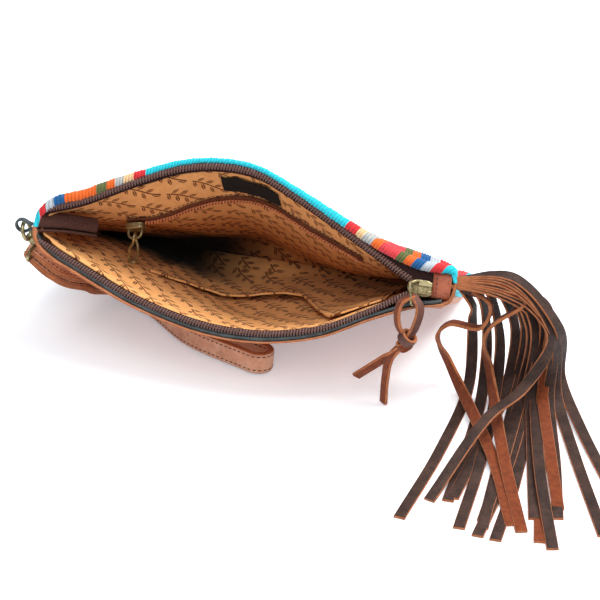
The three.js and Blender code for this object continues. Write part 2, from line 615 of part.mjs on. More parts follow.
function addStrap() {
  const ringAt = new THREE.Vector3(-119.6, 3.4, 69.9);
  const collar = new THREE.Shape();
  collar.absarc(0, 0, 4.4, 0.75, 2 * Math.PI - 0.75, false);
  collar.lineTo(6, -2.2);
  collar.lineTo(6, 2.2);
  const hole = new THREE.Path();
  hole.absarc(0, 0, 2.8, 0, 2 * Math.PI, true);
  collar.holes.push(hole);
  const [axisX, axisZ] = [new THREE.Vector3(1, 0, 0), new THREE.Vector3(0, 0, 1)];
  const loopPlace = ringAt.clone().add(new THREE.Vector3(0, 1.4, 0));
  add("side_loop", plateSolid(collar, 2.4, loopPlace, axisX, axisZ), "leather");

  const down = new THREE.Vector3(-0.1, 0.45, -0.88).normalize();
  const sideways = new THREE.Vector3(0, 1, 0).addScaledVector(down, -down.y).normalize();
  const hookEnd = ringAt.clone().addScaledVector(down, 4.9);
  const ring = linkSolid(hookEnd.clone().addScaledVector(down, -0.2), hookEnd, sideways, 4.8, 1.1);
  const barrel = new THREE.CylinderGeometry(2.6, 2.6, 6, 12);
  barrel.applyQuaternion(new THREE.Quaternion().setFromUnitVectors(new THREE.Vector3(0, -1, 0), down));
  const barrelAt = hookEnd.clone().addScaledVector(down, 7.3);
  barrel.translate(barrelAt.x, barrelAt.y, barrelAt.z);
  add("snap_hook", fused([ring, barrel]), "brass");

  const first = STRAP_ROWS[0];
  const strapSide = new THREE.Vector3(first.sideX, first.sideY, first.sideZ).normalize();
  const eyeTop = barrelAt.clone().addScaledVector(down, 4.5);
  const bend = new THREE.Vector3(first.x, first.y, first.z);
  const eyeFrom = bend.clone().addScaledVector(strapSide, -7.2);
  const eyeTo = bend.clone().addScaledVector(strapSide, 7.2);
  const eyeUp = eyeTop.clone().sub(bend);
  eyeUp.addScaledVector(strapSide, -eyeUp.dot(strapSide)).normalize();
  const eye = linkSolid(eyeFrom, eyeTo, eyeUp, EYE_HALF, 0.9);
  eye.translate(...eyeUp.clone().multiplyScalar(EYE_HALF).toArray());
  add("swivel_eye", eye, "brass");

  const rows = STRAP_ROWS.map((row) => ({
    place: new THREE.Vector3(row.x, row.y, row.z),
    side: new THREE.Vector3(row.sideX, row.sideY, row.sideZ),
  }));
  const middle = bandStations(rows, 26);
  const legs = middle.map((station, i) => {
    const along = middle[Math.min(i + 1, 25)].place.clone().sub(middle[Math.max(i - 1, 0)].place).normalize();
    const side = station.side.clone().addScaledVector(along, -station.side.dot(along)).normalize();
    const at = (i / 25) * (STRAP_ROWS.length - 1);
    const k = Math.min(Math.floor(at), STRAP_ROWS.length - 2);
    const apart = THREE.MathUtils.lerp(STRAP_ROWS[k].apart, STRAP_ROWS[k + 1].apart, at - k);
    return { place: station.place, along, side, apart, out: side.clone().cross(along) };
  });
  const legPoint = (leg, sign) => ({
    place: leg.place.clone().addScaledVector(leg.out, sign * leg.apart),
    side: leg.side,
  });
  const turn = (leg, sign) => spread(0, Math.PI, 8).slice(1, -1).map((angle) => ({
    place: leg.place.clone()
      .addScaledVector(leg.out, sign * leg.apart * Math.cos(angle))
      .addScaledVector(leg.along, sign * leg.apart * Math.sin(angle)),
    side: leg.side,
  }));
  const outward = legs.map((leg) => legPoint(leg, 1));
  const back = legs.map((leg) => legPoint(leg, -1)).reverse();
  const stations = [...outward, ...turn(legs[25], 1), ...back, ...turn(legs[0], -1)];
  add("wrist_strap", bandSolid(stations, STRAP_WIDTH, STRAP_THICKNESS, true), "leather");
}

function addTassel() {
  const [axisX, axisZ] = [new THREE.Vector3(1, 0, 0), new THREE.Vector3(0, 0, 1)];
  const tabPlace = TASSEL_ROOT.clone().add(new THREE.Vector3(-3.8, 3.5, 0));
  add("tassel_tab", plateSolid(roundedRectangle(3.4, 9, 1), 7, tabPlace, axisX, axisZ), "leather");
  const headPlace = TASSEL_ROOT.clone().add(new THREE.Vector3(2.5, 6.4, 0));
  const head = plateSolid(roundedRectangle(9, 13, 1.5), 13, headPlace, axisX, axisZ);
  const rootSide = new THREE.Vector3(0, 0.1, 1);
  const across = (from, to) => new THREE.Vector3(from[1] - to[1], to[0] - from[0], 0).normalize();
  const strips = STRIP_ROWS.map((row, i) => {
    const layer = (i % STRIPS_A_LAYER) - (STRIPS_A_LAYER - 1) / 2;
    const level = i < STRIPS_A_LAYER ? -LAYER_RISE : LAYER_RISE;
    const start = TASSEL_ROOT.clone().add(new THREE.Vector3(2, layer * STRIP_SPACING, level));
    const reach = (row.bend[0] - start.x) / 2;
    const rise = 0.12 * Math.abs(reach) + 2;
    const crown = new THREE.Vector3(start.x + Math.max(reach, 8), start.y, start.z + rise);
    const floor = STRIP_THICKNESS / 2 + row.lift;
    const lying = across(row.land, row.tip);
    const rows = [
      { place: start, side: rootSide },
      { place: crown, side: new THREE.Vector3(0, 0.7, 0.7) },
      { place: new THREE.Vector3(...row.bend), side: new THREE.Vector3(0.5, 0.86, 0) },
      { place: new THREE.Vector3(...row.land, floor + 5), side: lying },
      { place: new THREE.Vector3(...row.mid, floor), side: lying },
      { place: new THREE.Vector3(...row.tip, STRIP_THICKNESS / 2), side: lying },
    ];
    return bandSolid(bandStations(rows, 9), STRIP_WIDTH, STRIP_THICKNESS, false);
  });
  const looped = LOOPED_ROWS.map((row) => {
    const lying = across(row.mid, row.tip);
    const onEdge = new THREE.Vector3(0, -0.5, 0.86);
    const rows = [
      { place: TASSEL_ROOT.clone().add(new THREE.Vector3(2, 0, -1)), side: rootSide },
      ...row.loop.map((place) => ({ place: new THREE.Vector3(...place), side: onEdge })),
      { place: new THREE.Vector3(...row.mid, STRIP_THICKNESS / 2 + row.lift), side: lying },
      { place: new THREE.Vector3(...row.tip, STRIP_THICKNESS / 2), side: lying },
    ];
    return bandSolid(bandStations(rows, 15), STRIP_WIDTH, STRIP_THICKNESS, false);
  });
  add("tassel", fused([head, ...strips, ...looped]), "dark_leather");
}

addWalls();
addMainZip();
addSlider();
addThong();
addPockets();
addStrap();
addTassel();

const box = new THREE.Box3().setFromObject(part);
const centre = box.getCenter(new THREE.Vector3());
part.position.set(-centre.x, -centre.y, -box.min.z);
part.updateMatrixWorld(true);

export default part;
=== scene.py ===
"""Looks of a leather wristlet with a woven front, a wrist strap and a fringe tassel.

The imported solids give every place. Each piece is built again here with its fine shape and finish, in
the bag's own coordinates: s runs along the mouth, v across it from the leather wall to the woven wall,
and d is the depth below the mouth. Lengths are millimetres until a mesh is written in metres.
"""

from __future__ import annotations

import json
import logging
import math
from dataclasses import dataclass
from enum import Enum
from typing import Callable, Sequence

import bmesh
import bpy
import numpy as np
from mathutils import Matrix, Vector

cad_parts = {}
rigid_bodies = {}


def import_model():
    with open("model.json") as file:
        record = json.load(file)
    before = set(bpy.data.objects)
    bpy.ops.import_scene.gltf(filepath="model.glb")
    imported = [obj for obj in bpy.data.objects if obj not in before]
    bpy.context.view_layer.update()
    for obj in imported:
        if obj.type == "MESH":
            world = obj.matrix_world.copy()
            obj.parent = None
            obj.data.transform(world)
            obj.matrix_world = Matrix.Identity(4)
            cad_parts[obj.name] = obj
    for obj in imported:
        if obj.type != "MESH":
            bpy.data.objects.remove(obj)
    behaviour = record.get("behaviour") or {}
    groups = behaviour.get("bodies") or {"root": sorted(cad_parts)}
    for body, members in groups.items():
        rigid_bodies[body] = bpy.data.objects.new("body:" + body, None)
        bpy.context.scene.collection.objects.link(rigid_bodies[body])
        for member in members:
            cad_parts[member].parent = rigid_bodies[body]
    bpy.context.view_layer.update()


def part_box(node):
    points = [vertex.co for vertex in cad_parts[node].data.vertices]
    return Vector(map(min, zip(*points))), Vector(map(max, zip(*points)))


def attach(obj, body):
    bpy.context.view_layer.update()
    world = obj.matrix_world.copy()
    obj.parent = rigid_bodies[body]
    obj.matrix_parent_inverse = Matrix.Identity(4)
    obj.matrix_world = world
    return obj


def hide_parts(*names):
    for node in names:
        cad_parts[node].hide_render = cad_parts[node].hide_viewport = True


LOG = logging.getLogger("wristlet")
MM = 0.001
TINY = 1e-9
ALONG_X = np.array([1.0, 0.0, 0.0])
ALONG_Y = np.array([0.0, 1.0, 0.0])
ROD_HINT = np.array([0.31, 0.52, 0.79])
LINK_STEP = 0.22
SHORTEST_SPAN = 1e-4

Array = np.ndarray
Socket = bpy.types.NodeSocket
Node = bpy.types.Node
Tree = bpy.types.NodeTree
Material = bpy.types.Material
Colour = tuple[float, float, float, float]
Pair = tuple[float, float]
Spot = tuple[float, float, float]
Inputs = dict[str, object]
Sockets = dict[str, Socket]
Wall = Callable[[Array, Array], Array]
FaceLine = tuple[Wall, float]


def srgb(red: int, green: int, blue: int) -> Colour:
    """Linear colour of an 8-bit display colour."""
    shares = [channel / 255 for channel in (red, green, blue)]
    linear = [x / 12.92 if x <= 0.04045 else ((x + 0.055) / 1.055) ** 2.4 for x in shares]
    return (linear[0], linear[1], linear[2], 1.0)


def unit(vectors: Array) -> Array:
    """Vectors along the last axis, scaled to length one."""
    lengths = np.linalg.norm(vectors, axis=-1, keepdims=True)
    return vectors / np.maximum(lengths, TINY)


def ease(value: Array, low: float, high: float) -> Array:
    """Smooth rise from 0 at low to 1 at high."""
    share = np.clip((value - low) / (high - low), 0, 1)
    return share * share * (3 - 2 * share)


def smooth_line(points: Sequence[Sequence[float]], count: int) -> Array:
    """Samples a smooth open line through points.

    Args:
        points: Places that the line passes, with any number of columns.
        count: Number of samples, spread evenly over the spans.

    Returns:
        The samples, one in each row.
    """
    knots = np.asarray(points, float)
    ends = (2 * knots[:1] - knots[1:2], knots, 2 * knots[-1:] - knots[-2:-1])
    padded = np.vstack(ends)
    at = np.linspace(0, len(knots) - 1, count)
    span = np.minimum(at.astype(int), len(knots) - 2)
    share = (at - span)[:, None]
    p0, p1, p2, p3 = (padded[span + k] for k in range(4))
    pairs = ((p0, p1), (p1, p2), (p2, p3))
    steps = [np.sqrt(np.linalg.norm(b - a, axis=1, keepdims=True)) for a, b in pairs]
    t0, t1, t2 = (np.maximum(step, SHORTEST_SPAN) for step in steps)
    leave = ((p1 - p0) / t0 - (p2 - p0) / (t0 + t1) + (p2 - p1) / t1) * t1
    arrive = ((p2 - p1) / t1 - (p3 - p1) / (t1 + t2) + (p3 - p2) / t2) * t1
    cubic = 2 * p1 - 2 * p2 + leave + arrive
    square = -3 * p1 + 3 * p2 - 2 * leave - arrive
    return ((cubic * share + square) * share + leave) * share + p1


def lengths_along(line: Array) -> Array:
    """Length of a line from its start to each of its points."""
    return np.r_[0, np.cumsum(np.linalg.norm(np.diff(line, axis=0), axis=1))]


def rows_at(at: Array, steps: Array, rows: Sequence[Sequence[float]]) -> Array:
    """Rows of values at places between the steps that they belong to."""
    columns = np.asarray(rows, float).T
    return np.stack([np.interp(at, steps, column) for column in columns], axis=1)


def even_line(points: Array, step: float) -> Array:
    """The same line with samples about one step apart."""
    lengths = lengths_along(points)
    places = np.linspace(0, lengths[-1], max(int(lengths[-1] / step), 2) + 1)
    return rows_at(places, lengths, points)


@dataclass(frozen=True)
class MouthRow:
    """One section of the mouth.

    The columns are the place, the wall lines, the zip lines, the rounding of the ends, how fast the front
    lining falls in, how far the woven wall swells below its rim and how much thicker the rim is rolled.
    """

    s: float
    far: float
    near: float
    coil_far: float
    coil_near: float
    blunt: float
    drape: float
    swell: float
    roll: float


MOUTH_ROWS = (
    MouthRow(-113, 0, 0, 6, -4, 0, 3, 0, 0),
    MouthRow(-111.5, 8.5, -7, 8.5, -5.5, 0.75, 3, 0, 0.6),
    MouthRow(-104, 17.6, -15, 11.5, -8.6, 1, 3, 0, 1.7),
    MouthRow(-93, 22.8, -21, 16.2, -14.6, 1, 3.2, 0, 2.2),
    MouthRow(-78, 30.4, -27.4, 23.6, -21, 1, 3.4, 0, 2.0),
    MouthRow(-62, 37.4, -33.8, 31.6, -27.4, 1, 3.2, 0, 0.9),
    MouthRow(-41, 45.4, -39.9, 40.3, -33.5, 1, 2.2, 0, 0.2),
    MouthRow(-20, 48.8, -44.1, 44, -37.7, 1, 1.5, 0, 0),
    MouthRow(0, 47.4, -45.4, 42.6, -39, 1, 1.5, 0, 0.2),
    MouthRow(21, 39.3, -43.8, 34, -37.4, 1, 1.9, 0, 0.9),
    MouthRow(46, 28, -37.4, 21.4, -31, 1, 3.2, 0.4, 2.1),
    MouthRow(72, 16.4, -24.4, 7.6, -17.6, 1, 5, 2.5, 2.7),
    MouthRow(93, 9.8, -15.5, -2.8, -6.8, 1, 5, 5.5, 2.7),
    MouthRow(105, 9, -13, -2.8, -6.8, 1, 5, 3.2, 2.6),
    MouthRow(111.5, 7.2, -9, -2.8, -6.8, 0.75, 5, 0.3, 1.2),
    MouthRow(113, 0, 0, -2.8, -6.8, 0, 5, 0, 0),
)


@dataclass(frozen=True)
class BagForm:
    """The bag's soft shape as lines of its walls and linings."""

    lean: float = math.radians(32)
    mouth_height: float = 72
    depth: float = 140
    half_width: float = 113
    seam_rise: float = 5.4
    body_half: float = 4.4
    seam_half: float = 2.25
    seam_from: float = 0.94
    flare_middle: float = 1.1
    flare_ends: float = 2.2
    belly: float = 18
    woven: float = 2.4
    leather: float = 1.6
    facing: float = 1.2
    facing_depth: float = 6.6
    facing_clearance: float = 0.9
    facing_rows: Pair = (0.05, 0.12)
    lining: float = 1.0
    lining_half_gap: float = 1.4
    clearance: float = 0.6
    seam_gap: float = -0.15
    lining_sag: float = 7
    lining_slack: float = 2.8
    slack_span: Pair = (-20, 30)
    rim_slack: float = 0.4
    back_drape: float = 0.8
    slow_crease: float = 0.45
    quick_crease: float = 0.2
    crease_from: Pair = (0.03, 0.2)
    crease_until: Pair = (0.78, 0.88)
    rim_share: float = 0.02
    swell_curve: float = 0.45
    hollow: float = 6.5
    hollow_left: Pair = (-108, -86)
    hollow_right: Pair = (-30, 16)
    hollow_rows: Pair = (0.2, 0.46)
    base_rows: Pair = (0.82, 0.92)
    base_lap: float = 0.3
    left_reach: float = 4.5
    left_reach_from: float = 88
    right_draw: float = 12
    right_draw_from: float = 62
    right_draw_slope: float = 0.25
    right_droop: float = 9
    right_droop_from: float = 75
    droop_from: Pair = (4, 45)
    droop_until: Pair = (85, 135)

    def mouth(self, key: str, s: Array) -> Array:
        """Smooth value of one column of the mouth's table at place s."""
        places = np.array([row.s for row in MOUTH_ROWS])
        values = np.array([getattr(row, key) for row in MOUTH_ROWS])
        before = np.r_[0, np.arange(len(places) - 1)]
        after = np.r_[np.arange(1, len(places)), len(places) - 1]
        slopes = (values[after] - values[before]) / (places[after] - places[before])
        s = np.clip(s, places[0], places[-1])
        i = np.clip(np.searchsorted(places, s) - 1, 0, len(places) - 2)
        span = places[i + 1] - places[i]
        t = (s - places[i]) / span
        start = (2 * t**3 - 3 * t**2 + 1) * values[i] + (t**3 - 2 * t**2 + t) * span * slopes[i]
        return start + (3 * t**2 - 2 * t**3) * values[i + 1] + (t**3 - t**2) * span * slopes[i + 1]

    def point(self, s: Array, v: Array, d: Array) -> Array:
        """Place of bag coordinates, with the left end drawn out and the right end drawn in and drooping."""
        s, v, d = np.broadcast_arrays(np.asarray(s, float), v, d)
        reach = self.left_reach * ease(-s, self.left_reach_from, self.half_width)
        draw = np.clip(self.right_draw_slope * d, 0, self.right_draw)
        draw = draw * ease(s, self.right_draw_from, self.half_width)
        middle = ease(d, *self.droop_from) * (1 - ease(d, *self.droop_until))
        v = v - self.right_droop * ease(s, self.right_droop_from, self.half_width) * middle
        y = v * math.sin(self.lean) + d * math.cos(self.lean)
        z = self.mouth_height + v * math.cos(self.lean) - d * math.sin(self.lean)
        return np.stack([s - reach - draw, y, z], axis=-1)

    def direction(self, s: float, v: float, d: float) -> Array:
        """Unit direction of bag coordinates."""
        return unit(self.point(s, v, d) - self.point(0, 0, 0))

    def narrowed(self, s: Array, inset: float) -> Array:
        """Place s drawn in towards the middle of the mouth."""
        return s * (1 - inset / self.half_width)

    def centre_line(self, q: Array) -> Array:
        """Line between the walls at depth fraction q."""
        return self.seam_rise * q

    def flare(self, s: Array) -> Array:
        """How fast the walls close with depth."""
        return self.flare_middle + self.flare_ends * (s / self.half_width) ** 2

    def half(self, s: Array, q: Array) -> Array:
        """Half thickness of the closed body."""
        closing = ease(q, self.seam_from, 1)
        return (self.body_half + (self.seam_half - self.body_half) * closing) * self.mouth("blunt", s)

    def front_wall(self, s: Array, q: Array) -> Array:
        """Outer line of the woven wall."""
        half = self.half(s, q)
        opened = (self.mouth("far", s) - half) * (1 - q) ** self.flare(s)
        below = np.clip((q - self.rim_share) / (1 - self.rim_share), 0, 1) ** self.swell_curve
        swell = self.mouth("swell", s) * 4 * below * (1 - below)
        centre = self.centre_line(q)
        return np.maximum(centre + half + opened + swell, centre + self.seam_gap)

    def front_wall_inner(self, s: Array, q: Array) -> Array:
        """Inner line of the woven wall."""
        return self.front_wall(s, q) - self.woven * self.mouth("blunt", s)

    def back_wall(self, s: Array, q: Array) -> Array:
        """Outer line of the leather wall, flattened where it rests."""
        half = self.half(s, q)
        opened = (self.mouth("near", s) + half) * (1 - q) ** self.flare(s)
        belly = self.belly * (1 - (s / self.half_width) ** 2) ** 1.5 * np.sin(math.pi * q * q)
        centre = self.centre_line(q)
        hanging = np.minimum(centre - half + opened - belly, centre - self.seam_gap)
        fall = self.mouth_height - q * self.depth * math.sin(self.lean)
        return np.maximum(hanging, -fall / math.cos(self.lean))

    def wrinkle(self, s: Array, q: Array) -> Array:
        """Soft creases that both linings share."""
        slow = np.sin(0.11 * s + 9 * q) * np.sin(0.043 * s - 17 * q + 1.3)
        quick = np.sin(0.31 * s - 23 * q) * np.sin(0.17 * s + 31 * q + 0.7)
        height = self.slow_crease * slow + self.quick_crease * quick
        return height * ease(q, *self.crease_from) * (1 - ease(q, *self.crease_until))

    def lining_centre(self, s: Array, q: Array) -> Array:
        """Line between the linings, which sags below the bag's own centre line."""
        sag = self.lining_sag * (1 - (s / self.half_width) ** 2)
        return self.centre_line(q) - sag * np.sin(math.pi * q)

    def lining_half(self, s: Array, q: Array) -> Array:
        """Half the gap between the linings, wider where they hang loose."""
        loose = 1 - ease(s, *self.slack_span)
        slack = self.lining_slack * loose * np.sin(math.pi * q)
        place = ease(s, *self.hollow_left) * (1 - ease(s, *self.hollow_right))
        deep = ease(q, *self.hollow_rows) * (1 - ease(q, *self.base_rows))
        return (self.lining_half_gap + slack + self.hollow * place * deep) * self.mouth("blunt", s)

    def front_lining(self, s: Array, q: Array) -> Array:
        """Outer line of the front lining."""
        blunt = self.mouth("blunt", s)
        half = self.lining_half(s, q)
        centre = self.lining_centre(s, q)
        reach = self.mouth("far", s) - (self.lining_inset + self.rim_slack) * blunt - half
        free = centre + half + np.maximum(reach * (1 - q) ** self.mouth("drape", s), 0)
        wall = self.front_wall(s, q) - self.lining_inset * blunt
        return np.maximum(np.minimum(wall, free), centre + self.seam_gap)

    def back_lining(self, s: Array, q: Array) -> Array:
        """Outer line of the back lining."""
        blunt = self.mouth("blunt", s)
        half = self.lining_half(s, q)
        centre = self.lining_centre(s, q)
        reach = self.mouth("near", s) + self.faced_inset * blunt + half
        drape = 1 + self.back_drape * (s / self.half_width) ** 2
        free = centre - half + np.minimum(reach * (1 - q) ** drape, 0)
        facing = (self.facing + self.facing_clearance) * (1 - ease(q, *self.facing_rows))
        wall = self.back_wall(s, q) + (self.leather + self.clearance + facing) * blunt
        return np.minimum(np.maximum(wall, free), centre - self.seam_gap)

    def middle(self, s: Array, q: Array) -> Array:
        """Line halfway between the linings, where their inner faces meet at the base."""
        return (self.front_lining(s, q) + self.back_lining(s, q)) / 2

    def _lining_inner(self, outer: Wall, sign: int, s: Array, q: Array) -> Array:
        """Inner line of a lining, with its creases; the sign is 1 for the front and -1 for the back."""
        thick = (self.lining + self.wrinkle(sign * s, q)) * self.mouth("blunt", s)
        face = outer(s, q) - sign * thick
        past = np.maximum(sign * (face - self.middle(s, q)) + self.base_lap, 0)
        return face - sign * past * ease(q, *self.base_rows)

    def front_lining_inner(self, s: Array, q: Array) -> Array:
        """Inner line of the front lining."""
        return self._lining_inner(self.front_lining, 1, s, q)

    def back_lining_inner(self, s: Array, q: Array) -> Array:
        """Inner line of the back lining."""
        return self._lining_inner(self.back_lining, -1, s, q)

    @property
    def lining_inset(self) -> float:
        """How far the lining's ends lie inside the woven wall's."""
        return self.woven + self.clearance

    @property
    def faced_inset(self) -> float:
        """How far the back lining lies inside the leather wall where the facing is."""
        return self.leather + self.facing + self.clearance + self.facing_clearance

    def on_lining(self, inner: Wall, s: Array, q: Array, lift: Array) -> Array:
        """Place on a lining's inner face, raised off it by lift."""
        s, q = np.broadcast_arrays(np.asarray(s, float), np.asarray(q, float))
        place = self.narrowed(s, self.lining_inset + self.lining)
        return self.point(place, inner(s, q) + lift, q * self.depth)


class Cap(Enum):
    """How the two ends of a tube of faces are closed."""

    FLAT = "flat"
    SEAM = "seam"


class Mesh:
    """Collects grids of faces into one mesh."""

    def __init__(self, name: str, *materials: Material) -> None:
        """Starts an empty mesh with its materials in slot order."""
        self.name = name
        self.materials = materials
        self.count = 0
        self.vertices: list[Array] = []
        self.faces: list[list[int]] = []
        self.uvs: list[Array] = []
        self.slots: list[Array] = []

    def grid(
        self,
        points: Array,
        uv: Array | None = None,
        wrap: tuple[bool, bool] = (False, True),
        slots: int | Sequence[int] = 0,
        cap: Cap = Cap.FLAT,
    ) -> None:
        """Adds a grid of points as quads.

        Args:
            points: Places with shape (rows, columns, 3).
            uv: Surface coordinates with one more row or column where the grid wraps.
            wrap: Whether the rows and the columns close on themselves.
            slots: Material slot of the whole grid, or of each column of quads.
            cap: How the first and last rows are closed.
        """
        rows, columns = points.shape[:2]
        spans = (rows if wrap[0] else rows - 1, columns if wrap[1] else columns - 1)
        i, k = np.meshgrid(np.arange(spans[0]), np.arange(spans[1]), indexing="ij")
        corners = [(i, k), (i + 1, k), (i + 1, k + 1), (i, k + 1)]
        quads = np.stack([(a % rows) * columns + b % columns for a, b in corners], axis=-1)
        if uv is None:
            uv = np.zeros((rows + wrap[0], columns + wrap[1], 2))
        self.faces.extend((quads.reshape(-1, 4) + self.count).tolist())
        self.uvs.append(np.stack([uv[a, b] for a, b in corners], axis=2).reshape(-1, 2))
        self.slots.append(np.broadcast_to(np.asarray(slots, int), spans).ravel())
        if not wrap[0]:
            for row in (0, rows - 1):
                self._close(row, columns, uv, int(np.max(slots)), cap)
        self.vertices.append(points.reshape(-1, 3))
        self.count += rows * columns

    def _close(self, row: int, columns: int, uv: Array, slot: int, cap: Cap) -> None:
        """Closes one end of a wrapped grid."""
        ring = list(range(columns))
        if cap is Cap.FLAT:
            loops = [ring]
        else:
            loops = [[k, k + 1, columns - 2 - k, columns - 1 - k] for k in range(columns // 2 - 1)]
        for loop in loops:
            self.faces.append([self.count + row * columns + k for k in loop])
            self.uvs.append(uv[row, loop])
        self.slots.append(np.full(len(loops), slot))

    def make(self, shift: Array, sharp_degrees: float) -> bpy.types.Object:
        """Writes the mesh in metres and links its object.

        Args:
            shift: Offset from the modelling place to the frame, in millimetres.
            sharp_degrees: Edges with a larger turn are shaded as sharp.

        Returns:
            The new object, at the frame's origin.
        """
        places = (np.vstack(self.vertices) + shift) * MM
        mesh = bpy.data.meshes.new(self.name)
        mesh.from_pydata(places, [], self.faces)
        layer = mesh.uv_layers.new(name="surface")
        layer.uv.foreach_set("vector", np.vstack(self.uvs).astype(np.float32).ravel())
        mesh.polygons.foreach_set("material_index", np.concatenate(self.slots).astype(np.int32))
        for material in self.materials:
            mesh.materials.append(material)
        shell = bmesh.new()
        shell.from_mesh(mesh)
        bmesh.ops.recalc_face_normals(shell, faces=shell.faces)
        shell.to_mesh(mesh)
        shell.free()
        mesh.shade_smooth()
        mesh.set_sharp_from_angle(angle=math.radians(sharp_degrees))
        piece = bpy.data.objects.new(self.name, mesh)
        bpy.context.scene.collection.objects.link(piece)
        return piece


def arc_uv(points: Array, first: Array, wrap_u: bool = False) -> Array:
    """Surface coordinates with first along the rows and arc length round the columns."""
    ring = np.concatenate([points, points[:, :1]], axis=1)
    middle = ring[len(ring) // 2]
    arc = lengths_along(middle)
    along = np.r_[first, 2 * first[-1] - first[-2]] if wrap_u else first
    return np.stack(np.meshgrid(along, arc, indexing="ij"), axis=-1)


def frames_along(line: Array, hint: Array, closed: bool = False) -> tuple[Array, Array, Array]:
    """Directions along a line, across it towards the hint, and square to both."""
    if closed:
        along = unit(np.roll(line, -1, axis=0) - np.roll(line, 1, axis=0))
    else:
        along = unit(np.gradient(line, axis=0))
    side = np.broadcast_to(hint, line.shape)
    side = unit(side - along * np.sum(side * along, axis=1, keepdims=True))
    return along, side, np.cross(side, along)


class Face(Enum):
    """Slots of a strip's upper side, under side and cut edges."""

    GRAIN = (0, 1, 2)
    SUEDE = (1, 0, 2)
    ROUGH = (1, 1, 2)
    BOTH_GRAIN = (0, 0, 2)


@dataclass(frozen=True)
class Strip:
    """Cross section of a flat leather strip."""

    width: float
    thickness: float
    bevel: float = 0.35
    groove: float = 0.0
    crown: float = 0.0
    groove_half: float = 0.3
    across: int = 7

    def outline(self) -> tuple[Array, list[int]]:
        """Places across and over the strip, and which of its three surfaces each side belongs to."""
        half, rise = self.width / 2, self.thickness / 2
        share = np.linspace(-1, 1, self.across)
        top = np.stack([share * (half - self.bevel), rise + self.crown * (1 - share**2)], axis=1)
        edge = [(half, rise - self.bevel)]
        if self.groove:
            edge += [(half, self.groove_half), (half - self.groove, 0), (half, -self.groove_half)]
        edge.append((half, self.bevel - rise))
        upper = np.vstack([top, edge])
        flat = self.across - 1
        slots = [0] * flat + [2] * (len(edge) + 1) + [1] * flat + [2] * (len(edge) + 1)
        return np.vstack([upper, -upper]), slots

    def sweep(
        self, mesh: Mesh, line: Array, sides: Array, closed: bool = False, face: Face = Face.GRAIN
    ) -> tuple[Array, Array]:
        """Adds the strip along a line.

        Args:
            mesh: Mesh that takes the faces.
            line: Middle of the strip.
            sides: Width direction at each place.
            closed: Whether the strip is a ring.
            face: Slots of the strip's surfaces.

        Returns:
            The width and the upward direction at each place.
        """
        _, side, up = frames_along(line, sides, closed)
        places, surfaces = self.outline()
        slots = [face.value[surface] for surface in surfaces]
        points = line[:, None] + side[:, None] * places[:, :1] + up[:, None] * places[:, 1:]
        points[..., 2] = np.maximum(points[..., 2], 0)
        mesh.grid(points, arc_uv(points, lengths_along(line), closed), (closed, True), slots)
        return side, up


def sweep_rod(
    mesh: Mesh, line: Array, radius: float | Array, sides: int = 10, closed: bool = False, slot: int = 0
) -> None:
    """Adds a round rod along a line.

    Args:
        mesh: Mesh that takes the faces.
        line: Middle of the rod.
        radius: Radius of the rod, or its radius at each place.
        sides: Number of faces round the rod.
        closed: Whether the rod is a ring.
        slot: Material slot of the rod.
    """
    along, side, up = frames_along(line, ROD_HINT, closed)
    if not closed:
        for i in range(1, len(line)):
            side[i] = side[i - 1] - along[i] * np.dot(side[i - 1], along[i])
            side[i] /= np.linalg.norm(side[i])
        up = np.cross(side, along)
    turn = np.linspace(0, math.tau, sides, endpoint=False)[None, :, None]
    size = np.broadcast_to(np.asarray(radius, float), len(line))[:, None, None]
    points = line[:, None] + size * (np.cos(turn) * side[:, None] + np.sin(turn) * up[:, None])
    mesh.grid(points, arc_uv(points, lengths_along(line), closed), (closed, True), slot)


def link_line(start: Array, end: Array, side: Array, half: float, count: int = 14) -> Array:
    """Closed line of a wire link with round ends."""
    along = unit(end - start)
    across = unit(side - along * np.dot(side, along))
    turns = np.linspace(math.pi / 2, 3 * math.pi / 2, count)[:, None]
    first = start + half * (np.cos(turns) * along + np.sin(turns) * across)
    last = end - half * (np.cos(turns) * along + np.sin(turns) * across)
    ring = np.vstack([first, last, first[:1]])
    return even_line(ring, half * LINK_STEP)[:-1]


def helix_line(line: Array, hint: Array, radii: Pair, pitch: float, samples: int = 12) -> Array:
    """Oval coil wound round a line with one turn for each pitch, its radii along the hint and across it."""
    fine = even_line(line, pitch / samples)
    _, side, up = frames_along(fine, hint)
    turn = (np.arange(len(fine)) * 2 * math.pi / samples)[:, None]
    return fine + radii[0] * np.cos(turn) * side + radii[1] * np.sin(turn) * up


@dataclass(frozen=True)
class Stitching:
    """Row of sewn stitches."""

    length: float = 2.0
    gap: float = 0.9
    radius: float = 0.28
    step: float = 0.25
    raised: float = 0.1
    sunk: float = 1.4

    def sew(self, mesh: Mesh, line: Array, up: Array) -> None:
        """Adds stitches along a line that lies on the surface, with their ends sunk along up."""
        fine = even_line(line, self.step)
        share = np.linspace(0, 1, len(line))
        places = np.linspace(0, 1, len(fine))
        rise = unit(rows_at(places, share, np.broadcast_to(up, line.shape)))
        each = max(int(round((self.length + self.gap) / self.step)), 4)
        keep = max(int(round(self.length / self.step)), 3)
        sink = self.radius * self.sunk * np.abs(np.linspace(-1, 1, keep)) ** 3
        for start in range(0, len(fine) - keep, each):
            part = fine[start : start + keep] + rise[start : start + keep] * (self.raised - sink[:, None])
            sweep_rod(mesh, part, self.radius, 6)


